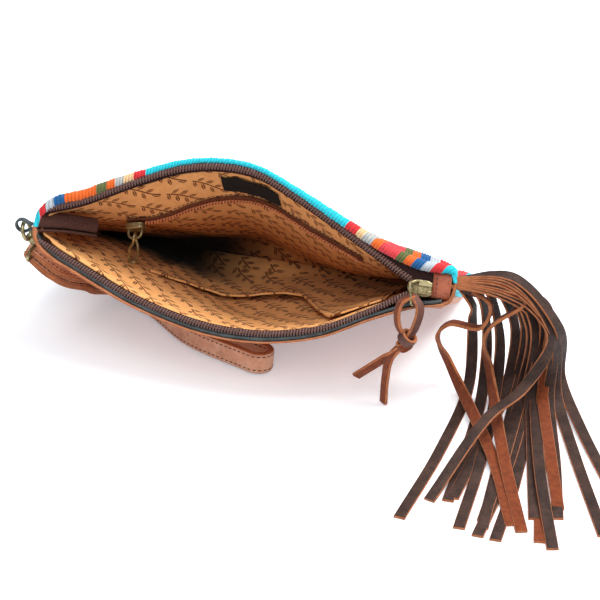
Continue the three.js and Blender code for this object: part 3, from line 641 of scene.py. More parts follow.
class Graph:
    """Short calls for making shader nodes in one tree."""

    def __init__(self, tree: Tree) -> None:
        """Works in the given tree."""
        self.tree = tree

    def feed(self, node: Node, inputs: dict) -> Node:
        """Links or sets inputs of a node."""
        for key, value in inputs.items():
            if isinstance(value, Socket):
                self.tree.links.new(value, node.inputs[key])
            else:
                node.inputs[key].default_value = value
        return node

    def add(self, kind: str, inputs: dict | None = None, **settings: object) -> Node:
        """Makes a shader node, sets its options and feeds its inputs."""
        node = self.tree.nodes.new(f"ShaderNode{kind}")
        for key, value in settings.items():
            setattr(node, key, value)
        return self.feed(node, inputs or {})

    def group(self, tree: Tree, **values: object) -> Sockets:
        """Outputs of a node group that is placed with its own values."""
        return self.add("Group", values, node_tree=tree).outputs

    def math(self, operation: str, first: object, second: object = 0.0, clamp: bool = False) -> Socket:
        """Result of one sum."""
        node = self.add("Math", {0: first, 1: second}, operation=operation, use_clamp=clamp)
        return node.outputs[0]

    def times(self, first: object, second: object) -> Socket:
        """Product of two values."""
        return self.math("MULTIPLY", first, second)

    def weigh(self, first: Socket, first_share: float, second: Socket, second_share: float) -> Socket:
        """Sum of two values, each times its share."""
        pairs = ((first, first_share), (second, second_share))
        return self.math("ADD", *(self.times(value, share) for value, share in pairs))

    def inverse(self, value: Socket) -> Socket:
        """One less the value."""
        return self.math("SUBTRACT", 1.0, value)

    def within(self, place: Socket) -> Socket:
        """Distance of a place from the middle of its whole step."""
        return self.math("SUBTRACT", self.math("FRACT", place), 0.5)

    def mix(self, factor: object, first: object, second: object) -> Socket:
        """Colour between two colours."""
        inputs = {0: factor, 6: first, 7: second}
        return self.add("Mix", inputs, data_type="RGBA").outputs[2]

    def noise(self, vector: Socket, scale: object, detail: float = 3.0) -> Socket:
        """Noise value at a vector."""
        inputs = {"Vector": vector, "Scale": scale, "Detail": detail, "Roughness": 0.6}
        return self.add("TexNoise", inputs).outputs["Fac"]

    def rise(self, value: Socket, low: float, high: float) -> Socket:
        """Smooth step from 0 at low to 1 at high."""
        inputs = {"Value": value, "From Min": low, "From Max": high}
        return self.add("MapRange", inputs, interpolation_type="SMOOTHSTEP").outputs[0]

    def bump(self, height: Socket, distance: float) -> Socket:
        """Normal bent by a height of the given distance in millimetres."""
        return self.add("Bump", {"Height": height, "Distance": distance * MM}).outputs[0]

    def split(self, vector: Socket) -> tuple[Socket, Socket]:
        """First two parts of a vector."""
        parts = self.add("SeparateXYZ", {0: vector})
        return parts.outputs["X"], parts.outputs["Y"]

    def turned(self, vector: Socket, angle: Socket) -> Socket:
        """Vector turned in the plane of its first two parts."""
        inputs = {"Vector": vector, "Angle": angle}
        return self.add("VectorRotate", inputs, rotation_type="Z_AXIS").outputs[0]

    def object_place(self) -> Socket:
        """Place on the object, in metres."""
        return self.add("TexCoord").outputs["Object"]

    def surface(self) -> Socket:
        """Surface coordinates, in millimetres."""
        return self.add("UVMap", uv_map="surface").outputs[0]


Fill = Callable[[Graph, Sockets], Sockets]


def make_group(name: str, inputs: Inputs, outputs: Sequence[str], fill: Fill) -> Tree:
    """Builds a shader node group.

    Args:
        name: Name of the group.
        inputs: Default of each input; None makes a vector input.
        outputs: Names of the value outputs.
        fill: Makes the nodes and returns the socket of each output.

    Returns:
        The group's tree.
    """
    tree = bpy.data.node_groups.new(name, "ShaderNodeTree")
    for key, default in inputs.items():
        kind = "NodeSocketVector" if default is None else "NodeSocketFloat"
        socket = tree.interface.new_socket(key, in_out="INPUT", socket_type=kind)
        if default is not None:
            socket.default_value = default
    for key in outputs:
        tree.interface.new_socket(key, in_out="OUTPUT", socket_type="NodeSocketFloat")
    graph = Graph(tree)
    source = tree.nodes.new("NodeGroupInput")
    made = fill(graph, {key: source.outputs[key] for key in inputs})
    graph.feed(tree.nodes.new("NodeGroupOutput"), {key: made[key] for key in outputs})
    return tree


@dataclass(frozen=True)
class Leaf:
    """One leaf of the printed sprig, in millimetres and degrees."""

    x: float
    y: float
    turn: float
    length: float
    width: float


SPRIG_LEAVES = (
    Leaf(-8.6, 2.2, 58, 2.7, 1.05),
    Leaf(-7.0, -2.4, -54, 2.7, 1.05),
    Leaf(-3.4, 2.6, 50, 3.0, 1.15),
    Leaf(-1.7, -2.5, -48, 3.0, 1.15),
    Leaf(2.2, 2.7, 44, 2.9, 1.1),
    Leaf(3.9, -2.0, -40, 2.7, 1.05),
    Leaf(8.8, 0.8, 8, 3.1, 1.15),
)


SPRIG_CELL = 25.0
SPRIG_ROW = 12.0
SPRIG_SHIFT = 10.0
STEM_HALF = 11.0
STEM_EDGE = (0.32, 0.55)
STEM_BEND = 0.6
STEM_TURNS = 0.25


class Effects:
    """Shader node groups that several finishes use."""

    def __init__(self) -> None:
        """Builds every group once."""
        sized = {"Place": None, "Size": 1.0}
        leaf = {"Place": None, "X": 0.0, "Y": 0.0, "Turn": 0.0, "Length": 2.0, "Width": 1.0}
        relief = ("Height", "Tone")
        mask = ("Mask",)
        self.grain = make_group("leather_grain", sized, relief, self._grain)
        self.nap = make_group("suede_nap", sized, relief, self._nap)
        self.weave = make_group("cloth_weave", {"Surface": None, "Pitch": 0.5}, relief, self._weave)
        self.wear = make_group("rubbed_wear", sized, mask, self._wear)
        self.leaf = make_group("print_leaf", leaf, mask, self._leaf)
        self.sprig = make_group("print_sprig", {"Surface": None, "Turn": 0.0}, mask, self._sprig)

    @staticmethod
    def _noises(graph: Graph, given: Sockets, *kinds: Pair) -> list[Socket]:
        """Noises at a group's place, each with its scale against the group's size, and its detail."""
        scale = graph.math("DIVIDE", 1 / MM, given["Size"])
        scales = [graph.times(scale, share) for share, _ in kinds]
        return [graph.noise(given["Place"], size, detail) for size, (_, detail) in zip(scales, kinds)]

    def _grain(self, graph: Graph, given: Sockets) -> Sockets:
        """Pebbled leather: cells with soft valleys and slow changes of tone."""
        scale = graph.math("DIVIDE", 1 / MM, given["Size"])
        inputs = {"Vector": given["Place"], "Scale": scale}
        cells = graph.add("TexVoronoi", inputs, feature="DISTANCE_TO_EDGE")
        valley = graph.rise(cells.outputs["Distance"], 0.0, 0.32)
        fine, slow = self._noises(graph, given, (2.3, 4.0), (0.09, 4.0))
        # The tone is partly painted shade, darker in the grain's valleys, on top of slow random changes of
        # tone.
        tone = graph.weigh(slow, 0.8, valley, 0.2)
        return {"Height": graph.weigh(valley, 0.65, fine, 0.35), "Tone": graph.rise(tone, 0.25, 0.75)}

    def _nap(self, graph: Graph, given: Sockets) -> Sockets:
        """Brushed suede: short fibres and cloudy patches."""
        fibre, cloud = self._noises(graph, given, (1.0, 5.0), (0.12, 4.0))
        tone = graph.weigh(fibre, 0.55, cloud, 0.45)
        return {"Height": fibre, "Tone": graph.rise(tone, 0.3, 0.7)}

    def _weave(self, graph: Graph, given: Sockets) -> Sockets:
        """Plain weave: two sets of threads that cross over and under."""
        places = [graph.math("DIVIDE", part, given["Pitch"]) for part in graph.split(given["Surface"])]
        turns = [graph.times(place, math.pi) for place in places]
        warp, weft = (graph.math("ABSOLUTE", graph.math("SINE", turn)) for turn in turns)
        squares = graph.math("ADD", *(graph.math("FLOOR", place) for place in places))
        over = graph.math("PINGPONG", squares, 1.0)
        warp_up = graph.times(warp, over)
        weft_up = graph.times(weft, graph.inverse(over))
        slub = graph.noise(given["Surface"], 1.7, 4.0)
        return {"Height": graph.math("ADD", warp_up, weft_up), "Tone": graph.rise(slub, 0.3, 0.7)}

    def _wear(self, graph: Graph, given: Sockets) -> Sockets:
        """Patches that handling has rubbed bright."""
        broad, specks = self._noises(graph, given, (1.0, 5.0), (6.0, 2.0))
        return {"Mask": graph.rise(graph.weigh(broad, 0.75, specks, 0.25), 0.42, 0.62)}

    def _leaf(self, graph: Graph, given: Sockets) -> Sockets:
        """One pointed leaf with a bare middle vein."""
        middle = graph.add("CombineXYZ", {"X": given["X"], "Y": given["Y"]}).outputs[0]
        moved = graph.add("VectorMath", {0: given["Place"], 1: middle}, operation="SUBTRACT")
        back = graph.times(given["Turn"], -1.0)
        x, y = graph.split(graph.turned(moved.outputs[0], back))
        along = graph.math("DIVIDE", x, given["Length"])
        across = graph.math("ABSOLUTE", graph.math("DIVIDE", y, given["Width"]))
        edge = graph.math("ADD", graph.times(along, along), across)
        inside = graph.inverse(graph.rise(edge, 0.82, 1.02))
        vein = graph.rise(across, 0.06, 0.2)
        return {"Mask": graph.times(inside, vein)}

    def _sprig(self, graph: Graph, given: Sockets) -> Sockets:
        """Rows of leaf sprigs set on a slant, each row shifted along."""
        x, y = graph.split(graph.turned(given["Surface"], given["Turn"]))
        row = graph.math("DIVIDE", y, SPRIG_ROW)
        slide = graph.times(graph.math("FLOOR", row), SPRIG_SHIFT)
        cell = graph.math("DIVIDE", graph.math("ADD", x, slide), SPRIG_CELL)
        along = graph.times(graph.within(cell), SPRIG_CELL)
        across = graph.times(graph.within(row), SPRIG_ROW)
        wave = graph.math("SINE", graph.times(along, STEM_TURNS))
        level = graph.math("SUBTRACT", across, graph.times(wave, STEM_BEND))
        local = graph.add("CombineXYZ", {"X": along, "Y": level}).outputs[0]
        stem = graph.inverse(graph.rise(graph.math("ABSOLUTE", level), *STEM_EDGE))
        reach = graph.math("LESS_THAN", graph.math("ABSOLUTE", along), STEM_HALF)
        mask = graph.times(stem, reach)
        for leaf in SPRIG_LEAVES:
            turn = math.radians(leaf.turn)
            sizes = {"X": leaf.x, "Y": leaf.y, "Turn": turn, "Length": leaf.length, "Width": leaf.width}
            mark = graph.group(self.leaf, Place=local, **sizes)
            mask = graph.math("MAXIMUM", mask, mark["Mask"])
        ink = graph.noise(given["Surface"], 1.1, 4.0)
        return {"Mask": graph.times(mask, graph.rise(ink, 0.2, 0.45))}


def new_material(name: str) -> tuple[Material, Graph, Node]:
    """Makes a material and returns it with its graph and its surface shader."""
    material = bpy.data.materials.new(name)
    material.use_nodes = True
    return material, Graph(material.node_tree), material.node_tree.nodes["Principled BSDF"]


@dataclass(frozen=True)
class Finish:
    """Finish of a material."""

    name: str

    def inputs(self, graph: Graph, effects: Effects) -> Inputs:
        """Values of the surface shader, which each finish gives."""
        raise NotImplementedError

    def make(self, effects: Effects) -> Material:
        """Builds the material."""
        material, graph, surface = new_material(self.name)
        graph.feed(surface, self.inputs(graph, effects))
        return material


@dataclass(frozen=True)
class LeatherFinish(Finish):
    """Grain side of leather."""

    colour: Colour
    shade: Colour
    rubbed: Colour
    grain: float = 0.8
    roughness: float = 0.55
    relief: float = 0.12
    gloss: float = 0.5
    rough_spread: float = 0.24
    wear_size: float = 11.0
    wear_share: float = 0.4

    def inputs(self, graph: Graph, effects: Effects) -> Inputs:
        """Values of the surface shader."""
        place = graph.object_place()
        grain = graph.group(effects.grain, Place=place, Size=self.grain)
        wear = graph.group(effects.wear, Place=place, Size=self.wear_size)
        base = graph.mix(grain["Tone"], self.shade, self.colour)
        rubbed = graph.times(wear["Mask"], self.wear_share)
        polish = graph.times(grain["Height"], self.rough_spread)
        return {
            "Base Color": graph.mix(rubbed, base, self.rubbed),
            "Roughness": graph.math("SUBTRACT", self.roughness + self.rough_spread / 2, polish),
            "Normal": graph.bump(grain["Height"], self.relief),
            "Specular IOR Level": self.gloss,
        }


@dataclass(frozen=True)
class SuedeFinish(Finish):
    """Brushed reverse or raw cut edge of leather."""

    colour: Colour
    shade: Colour
    fibre: float = 0.35
    relief: float = 0.18

    def inputs(self, graph: Graph, effects: Effects) -> Inputs:
        """Values of the surface shader."""
        nap = graph.group(effects.nap, Place=graph.object_place(), Size=self.fibre)
        return {
            "Base Color": graph.mix(nap["Tone"], self.shade, self.colour),
            "Normal": graph.bump(nap["Height"], self.relief),
            "Roughness": 0.92,
            "Specular IOR Level": 0.2,
            "Sheen Weight": 0.08,
        }


@dataclass(frozen=True)
class ClothFinish(Finish):
    """Plain woven cloth or tape."""

    colour: Colour
    shade: Colour
    pitch: float = 0.5
    relief: float = 0.12

    def inputs(self, graph: Graph, effects: Effects) -> Inputs:
        """Values of the surface shader."""
        weave = graph.group(effects.weave, Surface=graph.surface(), Pitch=self.pitch)
        # Raised threads take the lighter colour and sunken ones the darker, times a random slub tone:
        # painted shade in the weave's hollows.
        lit = graph.times(weave["Height"], weave["Tone"])
        return {
            "Base Color": graph.mix(lit, self.shade, self.colour),
            "Normal": graph.bump(weave["Height"], self.relief),
            "Roughness": 0.9,
            "Specular IOR Level": 0.2,
        }


@dataclass(frozen=True)
class PrintedFinish(Finish):
    """Brushed cotton lining with a one-colour leaf print, darkened by painted shade deep inside the bag."""

    colour: Colour
    shade: Colour
    ink: Colour
    turn: float
    painted_shade: Colour
    mouth: Spot
    inward: Spot
    shade_depth_range: Pair
    shade_along_range: Pair
    pitch: float = 0.42
    fibre: float = 0.5
    ink_share: float = 0.92
    relief: float = 0.06

    def inputs(self, graph: Graph, effects: Effects) -> Inputs:
        """Values of the surface shader."""
        place = graph.surface()
        weave = graph.group(effects.weave, Surface=place, Pitch=self.pitch)
        nap = graph.group(effects.nap, Place=graph.object_place(), Size=self.fibre)
        sprig = graph.group(effects.sprig, Surface=place, Turn=self.turn)
        cloth = graph.mix(nap["Tone"], self.shade, self.colour)
        inked = graph.times(sprig["Mask"], self.ink_share)
        printed = graph.mix(inked, cloth, self.ink)
        return {
            # Painted shade: the printed cloth fades to a near-black colour deep inside the bag, where
            # little light reaches.
            "Base Color": graph.mix(self._painted_shade_mask(graph), printed, self.painted_shade),
            "Normal": graph.bump(weave["Height"], self.relief),
            "Roughness": 0.93,
            "Specular IOR Level": 0.15,
            "Sheen Weight": 0.03,
        }

    def _painted_shade_mask(self, graph: Graph) -> Socket:
        """Mask of the painted shade that darkens the cloth deep inside the wide end of the bag."""
        offset = {0: graph.object_place(), 1: self.mouth}
        inside = graph.add("VectorMath", offset, operation="SUBTRACT").outputs[0]
        down = graph.add("VectorMath", {0: inside, 1: self.inward}, operation="DOT_PRODUCT")
        deep = graph.rise(down.outputs["Value"], *self.shade_depth_range)
        along, _ = graph.split(inside)
        wide = graph.inverse(graph.rise(along, *self.shade_along_range))
        return graph.times(deep, wide)


class Yarn(Enum):
    """Colours of the woven stripes."""

    TURQUOISE = srgb(30, 204, 222)
    RED = srgb(222, 42, 48)
    CRIMSON = srgb(226, 62, 70)
    WHITE = srgb(190, 198, 206)
    BLUE = srgb(10, 92, 152)
    ORANGE = srgb(240, 104, 26)
    OLIVE = srgb(98, 104, 54)
    GREY = srgb(182, 184, 182)
    CREAM = srgb(238, 196, 146)


STRIPES = (
    (Yarn.TURQUOISE, -112),
    (Yarn.RED, -109),
    (Yarn.WHITE, -105.2),
    (Yarn.BLUE, -101),
    (Yarn.ORANGE, -86.1),
    (Yarn.OLIVE, -80.7),
    (Yarn.ORANGE, -76),
    (Yarn.GREY, -71.8),
    (Yarn.CREAM, -66.4),
    (Yarn.RED, -60.5),
    (Yarn.TURQUOISE, 51.5),
    (Yarn.RED, 57.6),
    (Yarn.CREAM, 61.5),
    (Yarn.GREY, 67),
    (Yarn.ORANGE, 71.4),
    (Yarn.CRIMSON, 80.5),
    (Yarn.OLIVE, 85.4),
    (Yarn.ORANGE, 89.7),
    (Yarn.BLUE, 95.3),
    (Yarn.WHITE, 100.4),
    (Yarn.RED, 106),
    (Yarn.TURQUOISE, 113),
)


@dataclass(frozen=True)
class WovenFinish(Finish):
    """Heavy weft-faced wool in stripes along the mouth."""

    half_width: float
    pitch: float
    valley: Pair = (0.26, 0.5)
    valley_shade_share: float = 0.6
    uneven_share: float = 0.25
    darkened: float = 0.5
    wave: float = 5.2
    relief: float = 0.3

    def inputs(self, graph: Graph, effects: Effects) -> Inputs:
        """Values of the surface shader."""
        place = graph.surface()
        x, y = graph.split(place)
        colour = self._stripes(graph, x)
        across = graph.math("DIVIDE", x, self.pitch)
        turn = graph.math("FLOOR", across)
        # Painted shade: each yarn's colour darkens towards the grooves between yarns, added to the random
        # tone of each yarn and its fibres.
        valley = graph.rise(graph.math("ABSOLUTE", graph.within(across)), *self.valley)
        wave = graph.weigh(y, math.tau / self.wave, turn, math.pi)
        dip = graph.times(graph.math("ADD", graph.math("SINE", wave), 1.0), 0.5)
        fibre = graph.noise(place, 3.1, 4.0)
        each = graph.noise(graph.add("CombineXYZ", {"X": turn}).outputs[0], 0.83, 1.0)
        uneven = graph.times(graph.math("ADD", fibre, each), self.uneven_share)
        tone_and_valley_shade = graph.math("ADD", uneven, graph.times(valley, self.valley_shade_share), clamp=True)
        dark = graph.add("HueSaturation", {"Value": self.darkened, "Color": colour}).outputs[0]
        height = graph.math("ADD", dip, graph.times(fibre, 0.5))
        return {
            "Base Color": graph.mix(tone_and_valley_shade, colour, dark),
            "Normal": graph.bump(height, self.relief),
            "Roughness": 0.95,
            "Sheen Weight": 0.15,
        }

    def _stripes(self, graph: Graph, s: Socket) -> Socket:
        """Colour of the stripe at place s."""
        width = 2 * self.half_width
        share = graph.math("DIVIDE", graph.math("ADD", s, self.half_width), width)
        ramp = graph.add("ValToRGB", {0: share})
        ramp.color_ramp.interpolation = "CONSTANT"
        starts = [-self.half_width, *(until for _, until in STRIPES[:-1])]
        stops = ramp.color_ramp.elements
        while len(stops) < len(STRIPES):
            stops.new(1.0)
        for stop, start, (yarn, _) in zip(stops, starts, STRIPES):
            stop.position = (start + self.half_width) / width
            stop.color = yarn.value
        return ramp.outputs["Color"]


@dataclass(frozen=True)
class BrassFinish(Finish):
    """Antique brass: rubbed metal under a dark patina."""

    bright: Colour
    patina: Colour
    wear_size: float = 5.0
    pit_scale: float = 2600.0
    pit_depth: float = 0.015
    roughness: float = 0.5
    polish: float = 0.18

    def inputs(self, graph: Graph, effects: Effects) -> Inputs:
        """Values of the surface shader."""
        place = graph.object_place()
        wear = graph.group(effects.wear, Place=place, Size=self.wear_size)["Mask"]
        polished = graph.times(wear, self.polish)
        return {
            "Base Color": graph.mix(wear, self.patina, self.bright),
            "Roughness": graph.math("SUBTRACT", self.roughness, polished),
            "Normal": graph.bump(graph.noise(place, self.pit_scale), self.pit_depth),
            "Metallic": 0.9,
        }


@dataclass(frozen=True)
class NylonFinish(Finish):
    """Smooth moulded nylon or waxed thread."""

    colour: Colour
    shade: Colour
    roughness: float
    tone_scale: float = 900.0
    pit_scale: float = 4000.0
    pit_depth: float = 0.02

    def inputs(self, graph: Graph, effects: Effects) -> Inputs:
        """Values of the surface shader."""
        place = graph.object_place()
        return {
            "Base Color": graph.mix(graph.noise(place, self.tone_scale), self.shade, self.colour),
            "Normal": graph.bump(graph.noise(place, self.pit_scale), self.pit_depth),
            "Roughness": self.roughness,
        }


class Finishes:
    """Every material of the wristlet."""

    def __init__(self, form: BagForm, yarn_pitch: float, shift: Array) -> None:
        """Builds the materials from their finishes.

        Args:
            form: The bag's shape.
            yarn_pitch: Width of one yarn of the woven wall.
            shift: Offset from the modelling place to the frame.
        """
        effects = Effects()
        self.woven = WovenFinish("woven_wool", form.half_width, yarn_pitch).make(effects)
        self.leather = LeatherFinish(
            "tan_leather", srgb(200, 132, 96), srgb(166, 102, 72), srgb(222, 168, 132)
        ).make(effects)
        # The strap is the same tan leather as the back wall in lighter colours: painted light on the strap.
        self.lit_strap_leather = LeatherFinish(
            "lit_strap_leather", srgb(226, 164, 130), srgb(194, 132, 102), srgb(240, 196, 164)
        ).make(effects)
        self.tab_leather = LeatherFinish(
            "chestnut_leather", srgb(158, 76, 46), srgb(120, 52, 30), srgb(188, 108, 74)
        ).make(effects)
        self.dark_leather = LeatherFinish(
            "dark_leather", srgb(62, 42, 36), srgb(38, 25, 20), srgb(86, 61, 51), roughness=0.66, gloss=0.26
        ).make(effects)
        self.lace_leather = LeatherFinish(
            "lace_leather", srgb(98, 54, 42), srgb(68, 36, 28), srgb(124, 74, 58), roughness=0.6
        ).make(effects)
        self.slate = LeatherFinish(
            "slate_leather", srgb(58, 66, 68), srgb(38, 46, 48), srgb(84, 94, 96), grain=0.5, roughness=0.45
        ).make(effects)
        self.suede = SuedeFinish("rust_suede", srgb(134, 66, 34), srgb(86, 37, 18)).make(effects)
        self.edge = SuedeFinish("cut_edge", srgb(186, 116, 76), srgb(128, 72, 43), 0.5, 0.1).make(effects)
        ink = srgb(76, 22, 6)
        # The front lining is the same cloth as the back lining in darker colours: painted shade on the
        # lining that faces downwards.
        shaded_far_cloth = (srgb(218, 156, 98), srgb(196, 130, 76), ink, math.radians(-32))
        near_cloth = (srgb(246, 184, 118), srgb(222, 154, 92), ink, math.radians(48))
        mouth = tuple((form.point(0, 0, 0) + shift) * MM)
        # Near-black colour of the painted shade deep in the bag, with the mouth it is measured from and the
        # inward direction.
        inside = (srgb(20, 12, 7), mouth, tuple(form.direction(0, 0, 1)))
        # Depth and width ranges of the painted shade on each lining.
        far_shade_ranges = ((0.06, 0.112), (-0.045, 0.005))
        near_shade_ranges = ((0.082, 0.112), (-0.06, -0.01))
        self.front_lining = PrintedFinish("front_lining", *shaded_far_cloth, *inside, *far_shade_ranges).make(effects)
        self.back_lining = PrintedFinish("back_lining", *near_cloth, *inside, *near_shade_ranges).make(effects)
        self.zip_cloth = ClothFinish("zip_tape", srgb(84, 54, 52), srgb(44, 28, 28)).make(effects)
        rolled = (srgb(108, 70, 60), srgb(60, 36, 30))
        self.tail_cloth = ClothFinish("rolled_tape", *rolled, 0.7, 0.2).make(effects)
        self.pocket_cloth = ClothFinish("rust_tape", srgb(126, 66, 40), srgb(82, 40, 24), 0.4).make(effects)
        self.label = ClothFinish("black_label", srgb(34, 26, 22), srgb(12, 8, 7), 0.35, 0.08).make(effects)
        self.brass = BrassFinish("antique_brass", srgb(178, 166, 126), srgb(126, 112, 80)).make(effects)
        self.coil = NylonFinish("zip_nylon", srgb(118, 82, 74), srgb(76, 50, 44), 0.35).make(effects)
        rust = (srgb(216, 132, 86), srgb(170, 92, 56))
        self.pocket_coil = NylonFinish("rust_nylon", *rust, 0.38).make(effects)
        self.thread = NylonFinish("brown_thread", srgb(74, 44, 34), srgb(48, 28, 22), 0.7).make(effects)

    def strip(self, grain: Material) -> tuple[Material, Material, Material]:
        """Grain, reverse and cut edge of a leather strip."""
        return grain, self.suede, self.edge


class Workshop:
    """Where pieces are finished and set on the frame."""

    def __init__(self, form: BagForm, yarn_pitch: float, root: Sequence[float]) -> None:
        """Finds the modelling origin from the tab that holds the tassel, and makes the finishes.

        Args:
            form: The bag's shape.
            yarn_pitch: Width of one yarn of the woven wall.
            root: Middle of the tassel's tab in the modelling frame, in millimetres.
        """
        self.form = form
        low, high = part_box("tassel_tab")
        self.shift = np.array((low + high) / 2) / MM - np.array(root)
        self.finishes = Finishes(form, yarn_pitch, self.shift)
        self.kit = (form, self.finishes)

    def set(self, mesh: Mesh, node: str, slot: str, body: str = "bag", sharp: float = 60) -> None:
        """Makes a piece and sets it on the frame.

        Args:
            mesh: The piece's faces and materials.
            node: Solid that the piece stands for, or none if empty.
            slot: Not used.
            body: Body that the piece rides on.
            sharp: Edges that turn by more degrees are shaded as sharp.
        """
        piece = mesh.make(self.shift, sharp)
        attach(piece, body)
        if node:
            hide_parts(node)
        LOG.info("%s: %d faces on %s", piece.name, len(piece.data.polygons), body)

    def set_wall(self, name: str, material: Material, loop: Array, s: Array, node: str, slot: str) -> None:
        """Makes a piece from the loops of a wall's section at places s, and sets it on the frame."""
        mesh = Mesh(name, material)
        mesh.grid(loop, arc_uv(loop, s), cap=Cap.SEAM)
        self.set(mesh, node, slot)


@dataclass
class BagShell:
    """Woven front, leather back, rim facing and the two linings."""

    shop: Workshop
    yarn_pitch: float = 1.6
    yarn_samples: int = 6
    yarn_relief: float = 0.75
    yarn_slant: float = 0.5
    slant_reach: float = 4
    inner_relief: float = 0.25
    roll_depth: float = 0.018
    roll_points: int = 11
    pared_rim: float = 0.7
    pared_rows: Pair = (0.02, 0.08)
    pared_points: int = 6
    facing_rim: float = 2.2
    facing_thinning: float = 0.8
    facing_rows: Pair = (0.012, 0.045)
    facing_span: Pair = (-112, 108)
    facing_top: float = 1.5
    facing_seat: float = 0.1
    facing_inset: float = 0.3
    lining_rows: Pair = (0.035, 0.93)
    wall_samples: int = 241

    def build(self) -> None:
        """Builds every wall."""
        self._woven_front()
        self._leather_back()
        self._facing()
        form, finishes = self.shop.kit
        self._lining("lining_front", form.front_lining, form.front_lining_inner, finishes.front_lining)
        self._lining("lining_back", form.back_lining, form.back_lining_inner, finishes.back_lining)

    def _section(
        self, s: Array, outer: FaceLine, inner: FaceLine, outer_q: Array, inner_q: Array, rim: int
    ) -> Array:
        """Closed loops of a wall's section, from its base over the rim and down the inner face.

        Args:
            s: Places along the mouth.
            outer: Line of the outer face and how far its ends are drawn in.
            inner: Line of the inner face and how far its ends are drawn in.
            outer_q: Depth fractions of the outer face, from the rim down.
            inner_q: Depth fractions of the inner face, from the rim down.
            rim: Number of points round the rim.

        Returns:
            Points with shape (places, loop, 3).
        """
        form = self.shop.form
        column = s[:, None]

        def face(line: Wall, inset: float, q: Array) -> Array:
            """Points of one face."""
            row = q[None, :]
            return form.point(form.narrowed(column, inset), line(column, row), row * form.depth)

        out = face(*outer, outer_q[::-1])
        back = face(*inner, inner_q)
        middle = (out[:, -1:] + back[:, :1]) / 2
        half = (out[:, -1:] - back[:, :1]) / 2
        size = np.linalg.norm(half, axis=2, keepdims=True)
        turn = np.linspace(0, math.pi, rim + 2)[1:-1][None, :, None]
        outward = form.direction(0, 0, -1)
        arc = middle + half * np.cos(turn) + outward * size * np.sin(turn)
        loop = np.concatenate([out, arc, back], axis=1)
        loop[..., 2] = np.maximum(loop[..., 2], 0)
        return loop

    @staticmethod
    def _rows(start: float, fine: float, above: int, below: int) -> Array:
        """Depth fractions from a start to the base, closer together above the fine one than below it."""
        return np.r_[np.linspace(start, fine, above), np.linspace(fine, 1, below)[1:]]

    def _yarn_rise(self, along: Array, arc: Array) -> Array:
        """Relief of round yarns of uneven thickness, at places along the mouth and down the wall."""
        yarn = along / self.yarn_pitch
        each = np.floor(yarn)
        round_yarn = np.sqrt(np.maximum(1 - (2 * (yarn % 1) - 1) ** 2, 0))
        uneven = 0.85 + 0.15 * np.sin(7.3 * each) + 0.12 * np.sin(2.1 * arc + 3 * each)
        return self.yarn_relief * (round_yarn * uneven - 0.5)

    def _woven_front(self) -> None:
        """Weft-faced wool with every yarn raised and a thick rolled rim."""
        form = self.shop.form
        count = int(2 * form.half_width / self.yarn_pitch) * self.yarn_samples + 1
        s = np.linspace(-form.half_width, form.half_width, count)
        start = form.woven / 2 / form.depth
        outer_q = self._rows(start, 0.09, 16, 26)
        inner_q = self._rows(start, 0.022, 5, 9)
        rim = self.roll_points

        def rolled(place: Array, q: Array) -> Array:
            """Inner line with the rolled rim."""
            tuck = 1 - ease(q, start, self.roll_depth)
            return form.front_wall_inner(place, q) - form.mouth("roll", place) * tuck

        loop = self._section(s, (form.front_wall, 0), (rolled, form.woven), outer_q, inner_q, rim)
        normal = unit(np.cross(np.gradient(loop, axis=0), np.gradient(loop, axis=1)))
        middle = normal[count // 2, len(outer_q) // 2]
        normal *= np.sign(np.dot(middle, form.direction(0, 1, 0)))
        arc = lengths_along(loop[count // 2])
        crest = arc[len(outer_q) + rim // 2]
        slant = self.yarn_slant * np.clip(arc - crest, -self.slant_reach, self.slant_reach)
        along, down = np.broadcast_arrays(s[:, None] + slant[None, :], arc[None, :])
        fade = np.where(np.arange(loop.shape[1]) < len(outer_q) + rim, 1.0, self.inner_relief)
        rise = self._yarn_rise(along, down) * fade
        ends = ease(form.half_width - np.abs(s), 0, 2)[:, None]
        loop = loop + normal * (rise * ends)[..., None]
        mesh = Mesh("woven_front", self.shop.finishes.woven)
        uv = np.stack([along, down], axis=-1)
        mesh.grid(loop, np.concatenate([uv, uv[:, -1:]], axis=1), cap=Cap.SEAM)
        self.shop.set(mesh, "front_panel", "woven")

    def _leather_back(self) -> None:
        """Leather wall, pared thin to a raw rim."""
        form, finishes = self.shop.kit
        s = np.linspace(-form.half_width, form.half_width, self.wall_samples)
        start = self.pared_rim / 2 / form.depth
        outer_q = np.linspace(start, 1, 60)
        inner_q = np.linspace(start, 1, 30)
        rim = self.pared_points

        def pared(place: Array, q: Array) -> Array:
            """Inner line with the pared rim."""
            thick = self.pared_rim + (form.leather - self.pared_rim) * ease(q, *self.pared_rows)
            return form.back_wall(place, q) + thick * form.mouth("blunt", place)

        loop = self._section(s, (form.back_wall, 0), (pared, form.leather), outer_q, inner_q, rim)
        slots = [0] * (len(outer_q) - 1) + [1] * (rim + 1) + [0] * len(inner_q)
        mesh = Mesh("leather_back", finishes.leather, finishes.edge)
        mesh.grid(loop, arc_uv(loop, s), slots=slots, cap=Cap.SEAM)
        self.shop.set(mesh, "back_panel", "leather")

    def _facing(self) -> None:
        """Soft slate band sewn inside the leather rim."""
        form, finishes = self.shop.kit
        s = np.linspace(*self.facing_span, 191)
        inset = form.leather + self.facing_inset
        depths = np.linspace(self.facing_top, form.facing_depth, 6) / form.depth

        def outer(place: Array, q: Array) -> Array:
            """Line of the side against the leather."""
            return form.back_wall(place, q) + self.pared_rim + self.facing_seat

        def inner(place: Array, q: Array) -> Array:
            """Line of the side towards the bag's inside."""
            thick = self.facing_rim - self.facing_thinning * ease(q, *self.facing_rows)
            return outer(place, q) + thick * form.mouth("blunt", place)

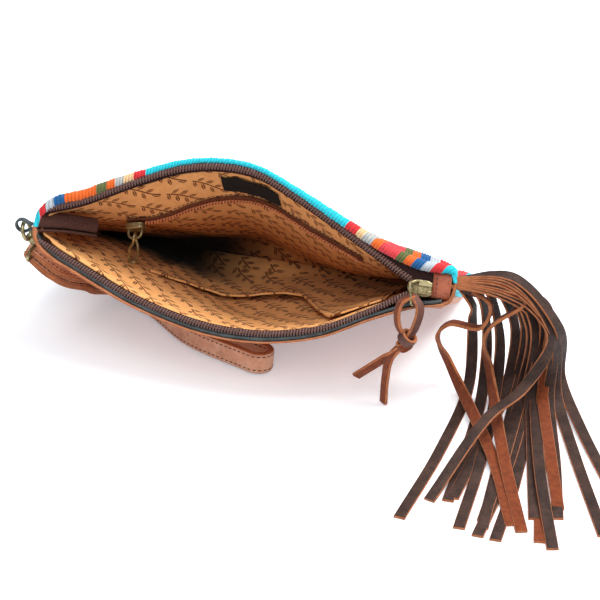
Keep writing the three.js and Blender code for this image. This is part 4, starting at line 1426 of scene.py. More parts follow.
        loop = self._section(s, (outer, inset), (inner, inset), depths, depths, 7)
        self.shop.set_wall("rim_facing_band", finishes.slate, loop, s, "rim_facing", "slate_leather")

    def _lining(self, node: str, outer: Wall, inner: Wall, material: Material) -> None:
        """One printed lining wall."""
        form = self.shop.form
        s = np.linspace(-form.half_width, form.half_width, self.wall_samples)
        outer_q = np.linspace(*self.lining_rows, 24)
        inner_q = np.linspace(*self.lining_rows, 100)
        inset = form.lining_inset
        loop = self._section(s, (outer, inset), (inner, inset + form.lining), outer_q, inner_q, 4)
        self.shop.set_wall(f"{node}_cloth", material, loop, s, node, "lining")


def rounded_outline(half_x: float, half_y: float, power: float = 0.55, count: int = 40) -> Array:
    """Outline of a rectangle with soft corners, round the origin."""
    turn = np.linspace(0, math.tau, count, endpoint=False)
    across, over = np.cos(turn), np.sin(turn)
    x = half_x * np.sign(across) * np.abs(across) ** power
    y = half_y * np.sign(over) * np.abs(over) ** power
    return np.stack([x, y], axis=1)


@dataclass
class MainZip:
    """Zip along the mouth: tapes, coils, slider, bail, end tab and tail."""

    shop: Workshop
    tape_span: Pair = (-109, 104)
    tape_top: float = 2.6
    tape_thickness: float = 1.0
    tape_sag: float = 0.35
    tape_least: float = 1.2
    tape_row: float = 0.02
    woven_inset: float = 1.2
    coil_span: Pair = (-109, 89)
    coil_size: Pair = (0.75, 1.45)
    coil_out: float = 1.1
    coil_wire: float = 0.46
    coil_pitch: float = 1.6
    coil_depth: float = 0.8
    slider_s: float = 94.5
    slider_v: float = -4.8
    tab_s: float = 105.0
    tab_v: float = -2.2

    def build(self) -> None:
        """Builds every piece of the zip."""
        self._side("front", "coil_far", 1, self._woven_edge)
        self._side("back", "coil_near", -1, self._leather_edge)
        self._slider()
        self._bail()
        self._end_tab()
        self._tail()

    def _woven_edge(self, s: Array) -> Array:
        """Outer line of the tape beside the woven wall."""
        form = self.shop.form
        place = s / form.narrowed(1, form.woven)
        return form.front_wall(place, np.float64(self.tape_row)) - form.woven - self.woven_inset

    def _leather_edge(self, s: Array) -> Array:
        """Outer line of the tape beside the leather wall."""
        form = self.shop.form
        place = s / form.narrowed(1, form.leather + BagShell.facing_inset)
        return form.back_wall(place, np.float64(self.tape_row)) + form.faced_inset

    def _teeth(self, coil: str, sign: int, s: Array) -> Array:
        """Middle line of one side's teeth, which stand close to the leather rim away from the slider."""
        out = self.coil_out if sign < 0 else 0.0
        return self.shop.form.mouth(coil, s) - out * ease(90 - s, 0, 25)

    def _side(self, wall: str, coil: str, sign: int, edge: Callable[[Array], Array]) -> None:
        """Tape and coil of one side of the mouth; the sign is 1 at the woven wall."""
        form, finishes = self.shop.kit
        s = np.linspace(*self.tape_span, 241)
        past_teeth = 2.6 if sign > 0 else 1.9
        inner = self._teeth(coil, sign, s) - sign * past_teeth
        outer = sign * np.maximum(sign * edge(s), sign * inner + self.tape_least)
        share = np.linspace(0, 1, 8)
        v = outer[:, None] + (inner - outer)[:, None] * share
        sag = self.tape_sag * np.sin(math.pi * share)[None, :]
        top = form.point(s[:, None], v, self.tape_top + sag)
        bottom = form.point(s[:, None], v, self.tape_top + self.tape_thickness + sag)
        loop = np.concatenate([top, bottom[:, ::-1]], axis=1)
        mesh = Mesh(f"zip_tape_{wall}_cloth", finishes.zip_cloth)
        mesh.grid(loop, arc_uv(loop, s), cap=Cap.SEAM)
        self.shop.set(mesh, f"zip_tape_{wall}", "zip_cloth", sharp=40)
        places = np.linspace(*self.coil_span, 270)
        v = self._teeth(coil, sign, places)
        line = form.point(places, v, self.coil_depth)
        turns = helix_line(line, form.direction(0, 0, -1), self.coil_size, self.coil_pitch)
        mesh = Mesh(f"zip_coil_{wall}_teeth", finishes.coil)
        sweep_rod(mesh, turns, self.coil_wire, 6)
        sweep_rod(mesh, form.point(places, v, self.coil_depth + 0.2), 0.5, 6)
        self.shop.set(mesh, f"zip_coil_{wall}", "zip_coil")

    def _plate(self, mesh: Mesh, outline: Array, low: float, high: float, bevel: float) -> None:
        """Adds a bevelled plate over the zip, its outline given along and across the zip."""
        form = self.shop.form
        middle = outline.mean(axis=0)
        reach = np.max(np.abs(outline - middle), axis=0)
        shrunk = middle + (outline - middle) * (1 - bevel / reach)
        rings = [(shrunk, low), (outline, low - bevel), (outline, high + bevel), (shrunk, high)]
        seat = np.array([self.slider_s, self.slider_v])
        mesh.grid(np.stack([form.point(*(seat + ring).T, depth) for ring, depth in rings]))

    def _slider(self) -> None:
        """Slider of two plates and a wedge, with two raised bars and a hoop at its nose."""
        form, finishes = self.shop.kit
        mesh = Mesh("zip_slider_body", finishes.brass)
        plate = rounded_outline(5.8, 4.2)
        self._plate(mesh, plate, 2.2, 0.7, 0.35)
        self._plate(mesh, rounded_outline(2.2, 1.5) + (2.4, 0), 0.75, -1.35, 0.1)
        self._plate(mesh, plate, -1.3, -2.8, 0.35)
        for side in (-1, 1):
            self._plate(mesh, rounded_outline(3.7, 1.3, 0.4) + (2.5, side * 2.1), -2.6, -4.4, 0.4)
        turn = np.linspace(0.4 * math.pi, 1.6 * math.pi, 40)
        across = 3.4 * np.sin(turn)
        reach = -0.6 + 4.6 * np.cos(turn)
        rise = -2.8 - 4.0 * np.clip(-np.cos(turn), 0, 1)
        hoop = form.point(self.slider_s + reach, self.slider_v + across, rise)
        sweep_rod(mesh, hoop, 0.9, 12)
        self.shop.set(mesh, "zip_slider", "brass", sharp=35)

    def _bail(self) -> None:
        """Wire bail from the slider's hoop to the lace."""
        form = self.shop.form
        start = form.point(self.slider_s - 4.4, self.slider_v, -6.6)
        end = form.point(self.slider_s - 3, self.slider_v - 6.7, -6.4)
        mesh = Mesh("slider_bail_wire", self.shop.finishes.brass)
        sweep_rod(mesh, link_line(start, end, form.direction(0, 0, -1), 2.4), 0.7, 12, closed=True)
        self.shop.set(mesh, "slider_bail", "brass")

    def _end_tab(self) -> None:
        """Leather tab folded over the end of the zip, sewn along one edge."""
        form, finishes = self.shop.kit
        route = [(-6.1, 5.0), (-5.9, 2.8), (-4.6, 1.3), (0, 0.8), (4.6, 1.3), (5.9, 2.8), (6.1, 5.0)]
        bent = smooth_line(route, 50)
        line = form.point(self.tab_s, self.tab_v + bent[:, 0], bent[:, 1])
        mesh = Mesh("zip_end_tab_leather", *finishes.strip(finishes.tab_leather))
        side, up = Strip(9.6, 1.7, 0.4, crown=0.2).sweep(mesh, line, form.direction(1, 0, 0))
        self.shop.set(mesh, "zip_end_tab", "leather")
        mesh = Mesh("zip_end_tab_stitches", finishes.thread)
        facing = up if np.dot(up[25], form.direction(0, 0, -1)) > 0 else -up
        top = slice(8, -8)
        sewn = line[top] - side[top] * 2.6 + facing[top]
        Stitching(1.7, 0.7, 0.24).sew(mesh, sewn, facing[top])
        self.shop.set(mesh, "", "leather")

    def _tail(self) -> None:
        """Loose end of the zip tape, rolled up in the corner round a tuft of yarn."""
        form, finishes = self.shop.kit
        count = 44
        route = [form.point(-111, 3.2, 3.6), form.point(-101, 4.6, 8.5), form.point(-88, 4.8, 19)]
        line = smooth_line(route, count)
        _, side, up = frames_along(line, form.direction(0, 1, 0.25))
        turn = np.linspace(0.4, 3.1 * math.pi, 70)
        outer = np.linspace(0.42, 1, 70)
        radius = np.r_[outer, outer[::-1] - 0.2]
        both = np.r_[turn, turn[::-1]]
        across = 6.0 * radius * np.cos(both)
        over = 3.6 * radius * np.sin(both)
        crease = 0.22 * np.sin(np.linspace(0, 21, count))[:, None] * np.sin(2 * both)[None, :]
        rolled = side[:, None] * across[None, :, None] + up[:, None] * (over[None, :] + crease)[..., None]
        points = line[:, None] + rolled
        mesh = Mesh("zip_tail_cloth", finishes.tail_cloth, finishes.woven)
        mesh.grid(points, arc_uv(points, np.linspace(0, 28, count)))
        tuft = line[0] + np.outer(np.linspace(-1.2, 3, 8), unit(line[1] - line[0]))
        radii = np.array([0.6, 0.9, 1.1, 1.2, 1.2, 1.1, 0.9, 0.4])
        sweep_rod(mesh, tuft, radii, slot=1)
        self.shop.set(mesh, "zip_tail", "zip_cloth")


@dataclass(frozen=True)
class ClothPatch:
    """Cloth laid over a lining wall, on a grid of place s and share t down the patch."""

    inner: Wall
    depth: Wall
    lift: Wall
    thickness: float

    def add(self, form: BagForm, mesh: Mesh, s: Array, t: Array) -> None:
        """Adds the patch to a mesh.

        Args:
            form: The bag's shape.
            mesh: Mesh that takes the faces.
            s: Places along the mouth.
            t: Shares down the patch.
        """
        column, row = s[:, None], t[None, :]
        q = self.depth(column, row)
        lift = self.lift(column, row)
        under = form.on_lining(self.inner, column, q, lift)
        over = form.on_lining(self.inner, column, q, lift + self.thickness)
        loop = np.concatenate([under, over[:, ::-1]], axis=1)
        fall = np.concatenate([q, q[:, ::-1], q[:, :1]], axis=1) * form.depth
        uv = np.stack(np.broadcast_arrays(column, fall), axis=-1)
        mesh.grid(loop, uv, cap=Cap.SEAM)

    def line(self, form: BagForm, s: Array, t: Array, over: float) -> Array:
        """Places on the lining under the patch, raised a little more than the patch."""
        return form.on_lining(self.inner, s, self.depth(s, t), self.lift(s, t) + self.thickness + over)


FINE_STITCHES = Stitching(1.6, 0.9, 0.2)
SLIDER_PLATE = ((0.86, 0.0), (1.0, 0.4), (1.0, 1.3), (0.9, 1.6))
SLIDER_RINGS = (*SLIDER_PLATE, (0.9, 2.0), (1.0, 2.2), (1.0, 3.0), (0.86, 3.4))
RAIL_HALF = ((-3.6, 3.0), (-3.7, 5.8), (-2.4, 7.8))
SLIDER_RAIL = (*RAIL_HALF, (0, 8.1), *((-x, rise) for x, rise in RAIL_HALF[::-1]))


@dataclass
class InnerPockets:
    """Zip pocket, label and slip pocket inside the bag."""

    shop: Workshop
    zip_span: Pair = (-78, 60)
    coil_span: Pair = (-67, 57)
    zip_row: float = 0.18
    zip_slope: float = -0.0006
    slider_s: float = -73
    tape_half: float = 0.016
    label_span: Pair = (-21.5, 11.5)
    label_rows: Pair = (0.055, 0.132)
    pocket_span: Pair = (-66, 76)
    pocket_base: float = 0.84
    hem_low: float = 0.58
    hem_curve: float = 0.4
    hem_middle: float = -5
    hem_half: float = 76
    hem_rise: float = 0.3
    hem_rise_span: Pair = (14, 52)
    hem_top: float = 0.06
    stand_off: float = 0.9
    gape: float = 4

    def build(self) -> None:
        """Builds every inner piece."""
        self._zip()
        self._slider()
        self._label()
        self._slip_pocket()

    def _zip_depth(self, s: Array, below: Array) -> Array:
        """Depth fraction of the pocket's zip, or of a line below it."""
        return self.zip_row + self.zip_slope * s + below

    @staticmethod
    def _tape_lift(s: Array, below: Array) -> Array:
        """How far the zip's tape lies off the lining."""
        return np.full(np.broadcast(s, below).shape, -0.7)

    def _zip(self) -> None:
        """Rust tape and coil of the zip pocket."""
        form, finishes = self.shop.kit
        inner = form.front_lining_inner
        outward = form.direction(0, -1, -0.3)
        s = np.linspace(*self.zip_span, 140)
        tape = ClothPatch(inner, self._zip_depth, self._tape_lift, -1.0)
        mesh = Mesh("pocket_tape_cloth", finishes.pocket_cloth)
        tape.add(form, mesh, s, np.linspace(-self.tape_half, self.tape_half, 8))
        self.shop.set(mesh, "pocket_tape", "pocket_cloth")
        places = np.linspace(*self.coil_span, 200)
        line = form.on_lining(inner, places, self._zip_depth(places, 0.0), -2.5)
        turns = helix_line(line, outward, (0.7, 1.3), 1.75)
        coil = Mesh("pocket_coil_teeth", finishes.pocket_coil)
        sweep_rod(coil, turns, 0.42, 6)
        self.shop.set(coil, "pocket_coil", "pocket_cloth")
        sewn = Mesh("pocket_zip_stitches", finishes.thread)
        for edge in (-1, 1):
            line = form.on_lining(inner, s, self._zip_depth(s, edge * (self.tape_half + 0.006)), -0.2)
            FINE_STITCHES.sew(sewn, line, outward)
        self.shop.set(sewn, "", "pocket_cloth")

    def _slider(self) -> None:
        """Small slider and its wire pull."""
        form, finishes = self.shop.kit

        def at(s: float, below: float) -> Array:
            """Place on the lining at the zip."""
            return form.on_lining(form.front_lining_inner, np.float64(s), self._zip_depth(s, below), 0.0)

        along = unit(at(self.slider_s + 4, 0) - at(self.slider_s - 4, 0))
        down = unit(at(self.slider_s, 0.03) - at(self.slider_s, -0.03))
        off = unit(np.cross(along, down))
        off *= -np.sign(off[2])
        across = np.cross(off, along)
        low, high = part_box("pocket_pull")
        middle = np.array((low + high) / 2) / MM - self.shop.shift
        hang = np.array([-1.5, 0.0, -13.5])
        bar = middle - hang / 2
        seat = bar - off * 8
        shape = rounded_outline(5.4, 3.2)
        mesh = Mesh("pocket_slider_body", finishes.brass)
        flat = shape[:, :1] * along + shape[:, 1:] * across
        mesh.grid(np.stack([seat + off * rise + size * flat for size, rise in SLIDER_RINGS]))
        rail = smooth_line(SLIDER_RAIL, 36)
        sweep_rod(mesh, seat + rail[:, :1] * along + rail[:, 1:] * off, 0.7, 10)
        self.shop.set(mesh, "pocket_slider", "brass", sharp=35)
        pull = Mesh("pocket_pull_wire", finishes.brass)
        wire = link_line(bar, bar + hang, ALONG_Y, 2.2)
        sweep_rod(pull, self._twisted(wire, bar, hang), 0.75, 12, closed=True)
        self.shop.set(pull, "pocket_pull", "brass", body="pull")

    @staticmethod
    def _twisted(wire: Array, bar: Array, hang: Array) -> Array:
        """Wire of the pull, turned to one side below the bar."""
        axis = unit(hang)
        along = (wire - bar) @ axis
        off = wire - bar - along[:, None] * axis
        angle = math.radians(70) * ease(along, 1.5, 8.0)[:, None]
        turned = off * np.cos(angle) + np.cross(axis, off) * np.sin(angle)
        return bar + along[:, None] * axis + turned

    def _label(self) -> None:
        """Black label, curled off the lining."""
        form, finishes = self.shop.kit
        first, last = self.label_span
        top, bottom = self.label_rows

        def depth(s: Array, t: Array) -> Array:
            """Depth fraction of the label, with a wavy upper edge."""
            return top + (bottom - top) * t + 0.004 * np.sin(0.45 * (s - first)) * (1 - t)

        def curl(s: Array, t: Array) -> Array:
            """How far the label stands off the lining."""
            bow = np.sin(math.pi * (s - first) / (last - first)) ** 2
            return -0.75 - (0.5 * bow + 0.25 * np.sin(0.6 * s + 5 * t)) * np.ones_like(t)

        mesh = Mesh("label_cloth_tab", finishes.label)
        patch = ClothPatch(form.front_lining_inner, depth, curl, -0.7)
        patch.add(form, mesh, np.linspace(first, last, 60), np.linspace(0, 1, 16))
        self.shop.set(mesh, "label_tab", "label_cloth")

    def _pocket_depth(self, s: Array, t: Array) -> Array:
        """Depth fraction of the slip pocket, from its curved hem down to its base."""
        bowed = self.hem_low - self.hem_curve * ((s - self.hem_middle) / self.hem_half) ** 2
        hem = np.maximum(bowed - self.hem_rise * ease(s, *self.hem_rise_span), self.hem_top)
        return hem + (self.pocket_base - hem) * t

    def _gape(self, s: Array, t: Array) -> Array:
        """How far the slip pocket stands off the lining."""
        first, last = self.pocket_span
        middle = np.sin(math.pi * (s - first) / (last - first)) ** 2
        return self.stand_off + self.gape * middle * (1 - t) ** 1.4

    def _slip_pocket(self) -> None:
        """Slip pocket with a stitched hem, sewn down at its side."""
        form, finishes = self.shop.kit
        patch = ClothPatch(form.back_lining_inner, self._pocket_depth, self._gape, 1.0)
        s = np.linspace(*self.pocket_span, 150)
        t = np.linspace(0, 1, 50)
        pocket = Mesh("slip_pocket_cloth", finishes.back_lining)
        patch.add(form, pocket, s, t)
        self.shop.set(pocket, "slip_pocket", "lining")
        sewn = Mesh("slip_pocket_stitches", finishes.thread)
        up = form.direction(0, 1, 0)
        FINE_STITCHES.sew(sewn, patch.line(form, s, np.full_like(s, 0.07), 0.05), up)
        for inset in (1.2, 3.0):
            side = np.full_like(t, self.pocket_span[1] - inset)
            FINE_STITCHES.sew(sewn, patch.line(form, side, t, 0.05), up)
        self.shop.set(sewn, "", "lining")


@dataclass(frozen=True)
class Guide:
    """One place that a strip passes, and its width direction there."""

    place: Sequence[float]
    side: Sequence[float]


def guided_line(guides: Sequence[Guide], count: int) -> tuple[Array, Array]:
    """Smooth line through guides, with its width directions."""
    line = smooth_line([guide.place for guide in guides], count)
    at = np.linspace(0, len(guides) - 1, count)
    return line, rows_at(at, np.arange(len(guides)), [guide.side for guide in guides])


@dataclass(frozen=True)
class StrapRow(Guide):
    """One place between the strap's two legs, with half their distance there."""

    apart: float


STRAP_ROWS = (
    StrapRow((-122, 14.3, 48.6), (0.15, 0.97, 0.2), 3.1),
    StrapRow((-112.4, 16.7, 36), (-0.1, 0.9, -0.35), 2.2),
    StrapRow((-104, 35, 21), (-0.1, 0.85, -0.35), 2.4),
    StrapRow((-90, 54, 9), (0, 0.5, 0.8), 3.6),
    StrapRow((-66, 46, 6.9), (0, 0.12, 1), 5.2),
    StrapRow((-34, 22, 6.2), (0, 0.15, 1), 6.4),
    StrapRow((4.5, 6, 6.2), (0, 0.15, 1), 6.8),
)


BARREL_ENDS = ((4.3, 1.0), (4.4, 2.2)), ((10.2, 2.1), (10.3, 0.9))
BARREL_RINGS = ((4.9, 2.6), (6.4, 2.6), (6.8, 2.2), (7.4, 2.2), (7.8, 2.6), (9.6, 2.6))


@dataclass
class WristStrap:
    """Side loop, snap hook, swivel eye and the doubled wrist strap."""

    shop: Workshop
    width: float = 11.6
    thickness: float = 3.2
    stitch_inset: float = 1.9
    ring_at: Spot = (-124.1, 3.4, 69.9)
    down: Spot = (0.208, 0.443, -0.872)
    eye_half: float = 3.1

    def build(self) -> None:
        """Builds the strap from the bag outwards."""
        self._side_loop()
        self._hook_and_eye()
        self._strap()

    def _side_loop(self) -> None:
        """Leather loop in the side seam."""
        finishes = self.shop.finishes
        turn = np.linspace(0.8, math.tau - 0.8, 40)
        ring = np.stack([3.6 * np.cos(turn), np.zeros(40), 3.6 * np.sin(turn)], axis=1)
        ends = np.array([[5.8, 0, 1.3]]), np.array([[5.8, 0, -1.3]])
        line = np.array(self.ring_at) + np.vstack([ends[0], ring, ends[1]])
        mesh = Mesh("side_loop_leather", finishes.slate, finishes.slate, finishes.slate)
        Strip(2.4, 1.3, 0.3).sweep(mesh, smooth_line(line, 60), ALONG_Y)
        self.shop.set(mesh, "side_loop", "leather")

    def _hook_and_eye(self) -> None:
        """Closed snap hook with its barrel, and the eye that the strap passes through."""
        finishes = self.shop.finishes
        down = unit(np.array(self.down))
        sideways = unit(ALONG_Y - down * down[1])
        hook_end = np.array(self.ring_at) + down * 4.9
        mesh = Mesh("snap_hook_body", finishes.brass)
        ring = link_line(hook_end - down * 0.2, hook_end, sideways, 4.8)
        sweep_rod(mesh, ring, 1.1, 12, closed=True)
        barrel = np.array((*BARREL_ENDS[0], *BARREL_RINGS, *BARREL_ENDS[1]))
        sweep_rod(mesh, hook_end + barrel[:, :1] * down, barrel[:, 1], 20)
        self.shop.set(mesh, "snap_hook", "brass", sharp=40)
        first = STRAP_ROWS[0]
        across = unit(np.array(first.side))
        bend = np.array(first.place)
        top = hook_end + down * 11.8
        rise = top - bend
        rise = unit(rise - across * np.dot(rise, across))
        middle = bend + rise * self.eye_half
        mesh = Mesh("swivel_eye_wire", finishes.brass)
        ring = link_line(middle - across * 7.2, middle + across * 7.2, rise, self.eye_half)
        sweep_rod(mesh, ring, 0.9, 12, closed=True)
        self.shop.set(mesh, "swivel_eye", "brass")

    def _loop(self) -> tuple[Array, Array]:
        """Closed line of the strap and its width directions."""
        count, bend = 120, 16
        places, sides = guided_line(STRAP_ROWS, count)
        at = np.linspace(0, len(STRAP_ROWS) - 1, count)
        apart = np.interp(at, np.arange(len(STRAP_ROWS)), [row.apart for row in STRAP_ROWS])[:, None]
        along, side, _ = frames_along(places, sides)
        out = np.cross(side, along)

        def turn(i: int, sign: int) -> Array:
            """Half circle that joins the two legs at one end."""
            angle = np.linspace(0, math.pi, bend + 2)[1:-1, None]
            return places[i] + sign * apart[i] * (np.cos(angle) * out[i] + np.sin(angle) * along[i])

        legs = [places + out * apart, turn(-1, 1), (places - out * apart)[::-1], turn(0, -1)]
        widths = [side, np.tile(side[-1], (bend, 1)), side[::-1], np.tile(side[0], (bend, 1))]
        return np.vstack(legs), np.vstack(widths)

    def _strap(self) -> None:
        """Doubled leather strap with a row of stitches along both edges."""
        finishes = self.shop.finishes
        line, sides = self._loop()
        # The strap's leather is a lightened copy of the tan leather: painted light.
        mesh = Mesh("wrist_strap_leather", *finishes.strip(finishes.lit_strap_leather))
        section = Strip(self.width, self.thickness, 0.45, groove=0.25, crown=0.2)
        side, up = section.sweep(mesh, line, sides, closed=True, face=Face.BOTH_GRAIN)
        self.shop.set(mesh, "wrist_strap", "leather")
        mesh = Mesh("wrist_strap_stitches", finishes.thread)
        for edge in (-1, 1):
            for face in (-1, 1):
                across = side * edge * (self.width / 2 - self.stitch_inset)
                sewn = line + across + up * face * (self.thickness / 2 + 0.08)
                Stitching().sew(mesh, sewn, up * face)
        self.shop.set(mesh, "", "leather")


@dataclass
class Lace:
    """Leather lace knotted through the slider's bail."""

    shop: Workshop
    width: float = 5.0
    thickness: float = 1.8
    knot: Spot = (91, -18, 45)
    bail: Pair = (-9.0, -6.55)

    def build(self) -> None:
        """Builds the loop, the knot and both tails as one piece."""
        finishes = self.shop.finishes
        mesh = Mesh("zip_lace", *finishes.strip(finishes.lace_leather))
        section = Strip(self.width, self.thickness, crown=0.1)
        for face, guides in self._strands():
            line, sides = guided_line(guides, 80)
            section.sweep(mesh, line, sides, face=face)
        knot = np.array(self.knot)
        self._wrap(mesh, knot + (0.2, 0, 1.5), 38, 3.9, Face.GRAIN)
        self._wrap(mesh, knot + (-1.2, 0.3, -2.6), -32, 3.3, Face.SUEDE)
        self.shop.set(mesh, "zip_thong", "dark_leather")

    def _strands(self) -> list[tuple[Face, list[Guide]]]:
        """Both legs of the loop, then the tail that hangs to the floor and the one that stands out."""
        left, right = (0.62, -0.72, 0.3), (-0.62, -0.72, 0.3)
        bail = self.shop.form.point
        up = [self.knot, (85.8, -17.4, 54), (86.3, -14.3, 64.4), bail(92.8, *self.bail)]
        down = [bail(92.0, *self.bail), (96.5, -14.3, 63.4), (95.2, -17, 54), self.knot]
        hanging = [
            Guide(self.knot, (0.6, -0.5, 0.3)),
            Guide((82, -16, 32), (0.7, -0.5, 0.6)),
            Guide((79, -13, 17), (0.8, -0.6, 0)),
            Guide((78, -12, 1.4), (0.8, -0.6, 0)),
        ]
        standing = [
            Guide(self.knot, (0.4, -0.6, 0.6)),
            Guide((79, -13, 30), (0.5, -0.3, 0.8)),
            Guide((62, -7, 12), (0.5, -0.3, 0.8)),
        ]
        return [
            (Face.SUEDE, [Guide(place, left) for place in up]),
            (Face.GRAIN, [Guide(place, right) for place in down]),
            (Face.GRAIN, hanging),
            (Face.SUEDE, standing),
        ]

    def _wrap(self, mesh: Mesh, middle: Array, tilt: float, reach: float, face: Face) -> None:
        """Adds one turn of the lace round the knot."""
        turn = np.linspace(math.tau, 0, 48, endpoint=False)[:, None]
        lean = math.radians(tilt)
        across = np.array([math.cos(lean), 0, -math.sin(lean)])
        axis = np.array([math.sin(lean), 0, math.cos(lean)])
        ring = reach * (np.cos(turn) * across + 0.85 * np.sin(turn) * ALONG_Y)
        line = middle + ring + axis * 0.5 * np.sin(turn)
        section = Strip(self.width, 1.6, crown=0.15)
        section.sweep(mesh, line, np.broadcast_to(axis, line.shape), closed=True, face=face)


@dataclass(frozen=True)
class StripRow:
    """One fringe strip: where it bends over, lands, runs and ends, and how far it lies up."""

    bend: Spot
    land: Pair
    mid: Pair
    tip: Pair
    lift: float
    face: Face = Face.GRAIN


@dataclass(frozen=True)
class LoopedRow:
    """One strip that loops in the air on its edge before it lands, runs and ends."""

    loop: tuple[Spot, ...]
    mid: Pair
    tip: Pair
    lift: float


STRIP_ROWS = (
    StripRow((119.5, 9, 47.5), (119, 10), (116, -47), (109, -109), 0),
    StripRow((162, 1, 48), (152, -13), (138, -38), (120, -91), 18),
    StripRow((127, 9, 44.5), (127, 7), (129, -44), (129, -89), 0),
    StripRow((134, 7, 44), (134, 8), (138, -52), (139, -110), 1),
    StripRow((141, 11, 47), (139, 12), (135, -40), (131, -86), 1),
    StripRow((146, 11, 49), (144, 13), (147, -48), (150, -107), 1),
    StripRow((150, 5, 50), (147, 11), (149, -49), (149, -101), 1),
    StripRow((152, 5, 52), (150, 8), (152, -56), (149, -114), 0),
    StripRow((153, 8, 52), (153, 5), (158, -63), (158, -115), 0),
    StripRow((156, 7, 54), (153, 8), (164, -49), (173, -93), 1),
    StripRow((157, 10, 54), (159, 4), (170, -60), (179, -111), 0, Face.SUEDE),
    StripRow((158, 8, 60), (154, 13), (169, -57), (186, -115), 4),
    StripRow((159.5, 5, 52), (158, 10), (172, -43), (183, -82), 4, Face.SUEDE),
    StripRow((161.5, 3, 52), (162, 7), (175, -46), (184, -90), 1),
    StripRow((163, 3, 48), (165, 12), (183, -35), (208, -98), 1),
    StripRow((165, 4, 52), (165, 25), (181, -9), (206, -59), 2),
)

LOOPED_ROWS = (
    LoopedRow(
        ((130, 2.7, 60.6), (126.6, -0.2, 48.6), (108.3, 7.5, 43.1), (101.4, 11, 33), (107, 16.5, 12)),
        (143, -49),
        (163, -101),
        3,
    ),
    LoopedRow(
        ((142.6, 2.2, 72.6), (147.6, 3.2, 64.6), (132.6, -0.8, 51.6), (128, 1.2, 40.6), (130.3, 7, 17)),
        (149, -50),
        (169, -105),
        5,
    ),
)


@dataclass
class Tassel:
    """Fringe of leather strips at the end of the bag, and the tab that holds it."""

    shop: Workshop
    root: Spot = (119, 3, 68)
    tab_back: float = 3.8
    width: float = 6
    thickness: float = 1.3
    looped_thickness: float = 1.8
    a_layer: int = 8
    spacing: float = 1.25
    layer_depth: float = 3.0
    gather: float = 0.6

    def build(self) -> None:
        """Builds the tab, the head and every strip."""
        finishes = self.shop.finishes
        tab = Mesh("tassel_tab_leather", *finishes.strip(finishes.dark_leather))
        root = np.array(self.root)
        line = root + np.linspace(-11, 3, 14)[:, None] * ALONG_X
        Strip(7, 2.4, 0.6).sweep(tab, line, np.array([0.0, -0.83, 0.45]))
        self.shop.set(tab, "tassel_tab", "leather")
        mesh = Mesh("tassel_fringe", *finishes.strip(finishes.dark_leather))
        line = root + np.linspace(-5, 2, 12)[:, None] * ALONG_X
        sweep_rod(mesh, line, 3.2 * np.sqrt(np.sin(np.linspace(0.3, math.pi - 0.3, 12))), 20)
        for number, row in enumerate(STRIP_ROWS):
            self._strip(mesh, number, row)
        for row in LOOPED_ROWS:
            self._looped(mesh, row)
        self.shop.set(mesh, "tassel", "dark_leather")

    def _strip(self, mesh: Mesh, number: int, row: StripRow) -> None:
        """Adds one strip."""
        layer = (number % self.a_layer - (self.a_layer - 1) / 2) * self.spacing
        level = self.layer_depth if number < self.a_layer else -self.layer_depth
        spread = np.array([0, 0.5 * layer + 0.83 * level, 0.85 * layer - 0.5 * level])
        start = np.array(self.root) + (-6.5, 2, 2) + self.gather * spread
        reach = (row.bend[0] - start[0]) / 2
        rise = np.interp(reach, (2, 9, 26), (-5, 3, 5))
        crown = np.array(self.root) + (max(reach, 5) - 4, 0, rise) + spread
        floor = self.thickness / 2 + row.lift
        heading = unit(np.array([row.tip[0] - row.land[0], row.tip[1] - row.land[1], 0.0]))
        lying = (heading[1], -heading[0], 0)
        guides = [
            Guide(start, (0, -0.83, 0.45)),
            Guide(crown, (0, -0.9, -0.3)),
            Guide(row.bend, (-0.5, -0.86, 0)),
            Guide((*row.land, floor + 5), lying),
            Guide((*row.mid, floor), lying),
            Guide((*row.tip, self.thickness / 2), lying),
        ]
        line, sides = guided_line(guides, 64)
        section = Strip(self.width, self.thickness, 0.25, crown=0.05)
        section.sweep(mesh, line, sides, face=row.face)

    def _looped(self, mesh: Mesh, row: LoopedRow) -> None:
        """Adds one looped strip, suede side up."""
        heading = unit(np.array([row.tip[0] - row.mid[0], row.tip[1] - row.mid[1], 0.0]))
        lying = (-heading[1], heading[0], 0)
        floor = self.thickness / 2
        guides = [Guide(np.array(self.root) + (-3, 0, -1), (0, -0.5, 0.86))]
        *bends, foot = row.loop
        guides += [Guide(place, (0, -0.9, 0.2)) for place in bends]
        guides += [Guide(foot, (0.5, -0.3, 0.8))]
        guides += [Guide((*row.mid, floor + row.lift), lying), Guide((*row.tip, floor), lying)]
        line, sides = guided_line(guides, 96)
        section = Strip(self.width, self.looped_thickness, 0.25, crown=0.05)
        section.sweep(mesh, line, sides, face=Face.ROUGH)


def aim(thing: bpy.types.Object, place: Vector, target: Vector) -> None:
    """Sets a light or a camera at a place, turned to its target."""
    thing.location = place
    thing.rotation_mode = "QUATERNION"
    thing.rotation_quaternion = (target - place).to_track_quat("-Z", "Y")
    bpy.context.scene.collection.objects.link(thing)


@dataclass(frozen=True)
class SoftBox:
    """Square light, with its place, target and size in metres and its power in watts."""

    name: str
    place: Spot
    size: float
    power: float
    target: Spot = (0, 0, 0.03)

    def build(self) -> None:
        """Builds the light."""
        data = bpy.data.lights.new(self.name, "AREA")
        data.size = self.size
        data.energy = self.power
        aim(bpy.data.objects.new(self.name, data), Vector(self.place), Vector(self.target))


LIGHTS = (
    SoftBox("key_light", (0.7, 0.35, 1.35), 0.9, 30),
    SoftBox("fill_light", (0.25, -1.15, 1.35), 1.1, 14),
    SoftBox("top_light", (-0.2, 0.0, 1.6), 1.4, 12),
)


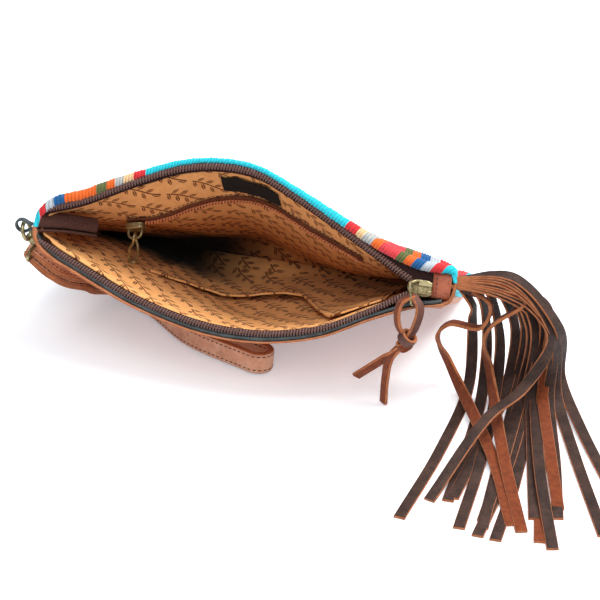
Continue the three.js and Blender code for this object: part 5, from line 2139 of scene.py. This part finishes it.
@dataclass(frozen=True)
class Studio:
    """Pale floor, soft light and the camera at the photograph's angle."""

    camera_at: Spot = (319.2, -1080.6, 721.5)
    look_at: Spot = (30.7, -4.2, 51.9)
    lens: float = 150
    sensor: float = 36

    def build(self, shift: Array) -> None:
        """Builds the whole set."""
        self._floor()
        for light in LIGHTS:
            light.build()
        self._world()
        self._camera(shift)

    def _floor(self) -> None:
        """Wide pale surface under the wristlet."""
        mesh = bpy.data.meshes.new("floor")
        reach = 4.0
        corners = [(-reach, -reach, 0), (reach, -reach, 0), (reach, reach, 0), (-reach, reach, 0)]
        mesh.from_pydata(corners, [], [(0, 1, 2, 3)])
        floor = bpy.data.objects.new("floor", mesh)
        bpy.context.scene.collection.objects.link(floor)
        material, graph, surface = new_material("pale_floor")
        inputs = {
            "Base Color": srgb(240, 243, 246),
            "Emission Color": srgb(224, 236, 248),
            "Emission Strength": 0.34,
            "Roughness": 0.6,
        }
        graph.feed(surface, inputs)
        mesh.materials.append(material)

    @staticmethod
    def _world() -> None:
        """Even white surroundings and plain colours."""
        world = bpy.data.worlds.new("studio")
        world.use_nodes = True
        back = world.node_tree.nodes["Background"]
        back.inputs["Color"].default_value = (1, 1, 1, 1)
        back.inputs["Strength"].default_value = 0.22
        scene = bpy.context.scene
        scene.world = world
        scene.view_settings.view_transform = "Standard"

    def _camera(self, shift: Array) -> None:
        """Camera for the square picture."""
        data = bpy.data.cameras.new("camera")
        data.lens = self.lens
        data.sensor_width = self.sensor
        camera = bpy.data.objects.new("camera", data)
        place = Vector((np.array(self.camera_at) + shift) * MM)
        target = Vector((np.array(self.look_at) + shift) * MM)
        aim(camera, place, target)
        bpy.context.scene.camera = camera


def main() -> None:
    """Builds the wristlet's looks round its frame."""
    logging.basicConfig(level=logging.INFO, format="%(name)s: %(message)s")
    for leftover in list(bpy.data.objects):
        bpy.data.objects.remove(leftover)
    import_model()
    form = BagForm()
    tab = np.array(Tassel.root) - (Tassel.tab_back, 0, 0)
    shop = Workshop(form, BagShell.yarn_pitch, tab)
    for assembly in (BagShell, MainZip, InnerPockets, WristStrap, Lace, Tassel):
        assembly(shop).build()
    Studio().build(shop.shift)


if __name__ == "__main__":
    main()
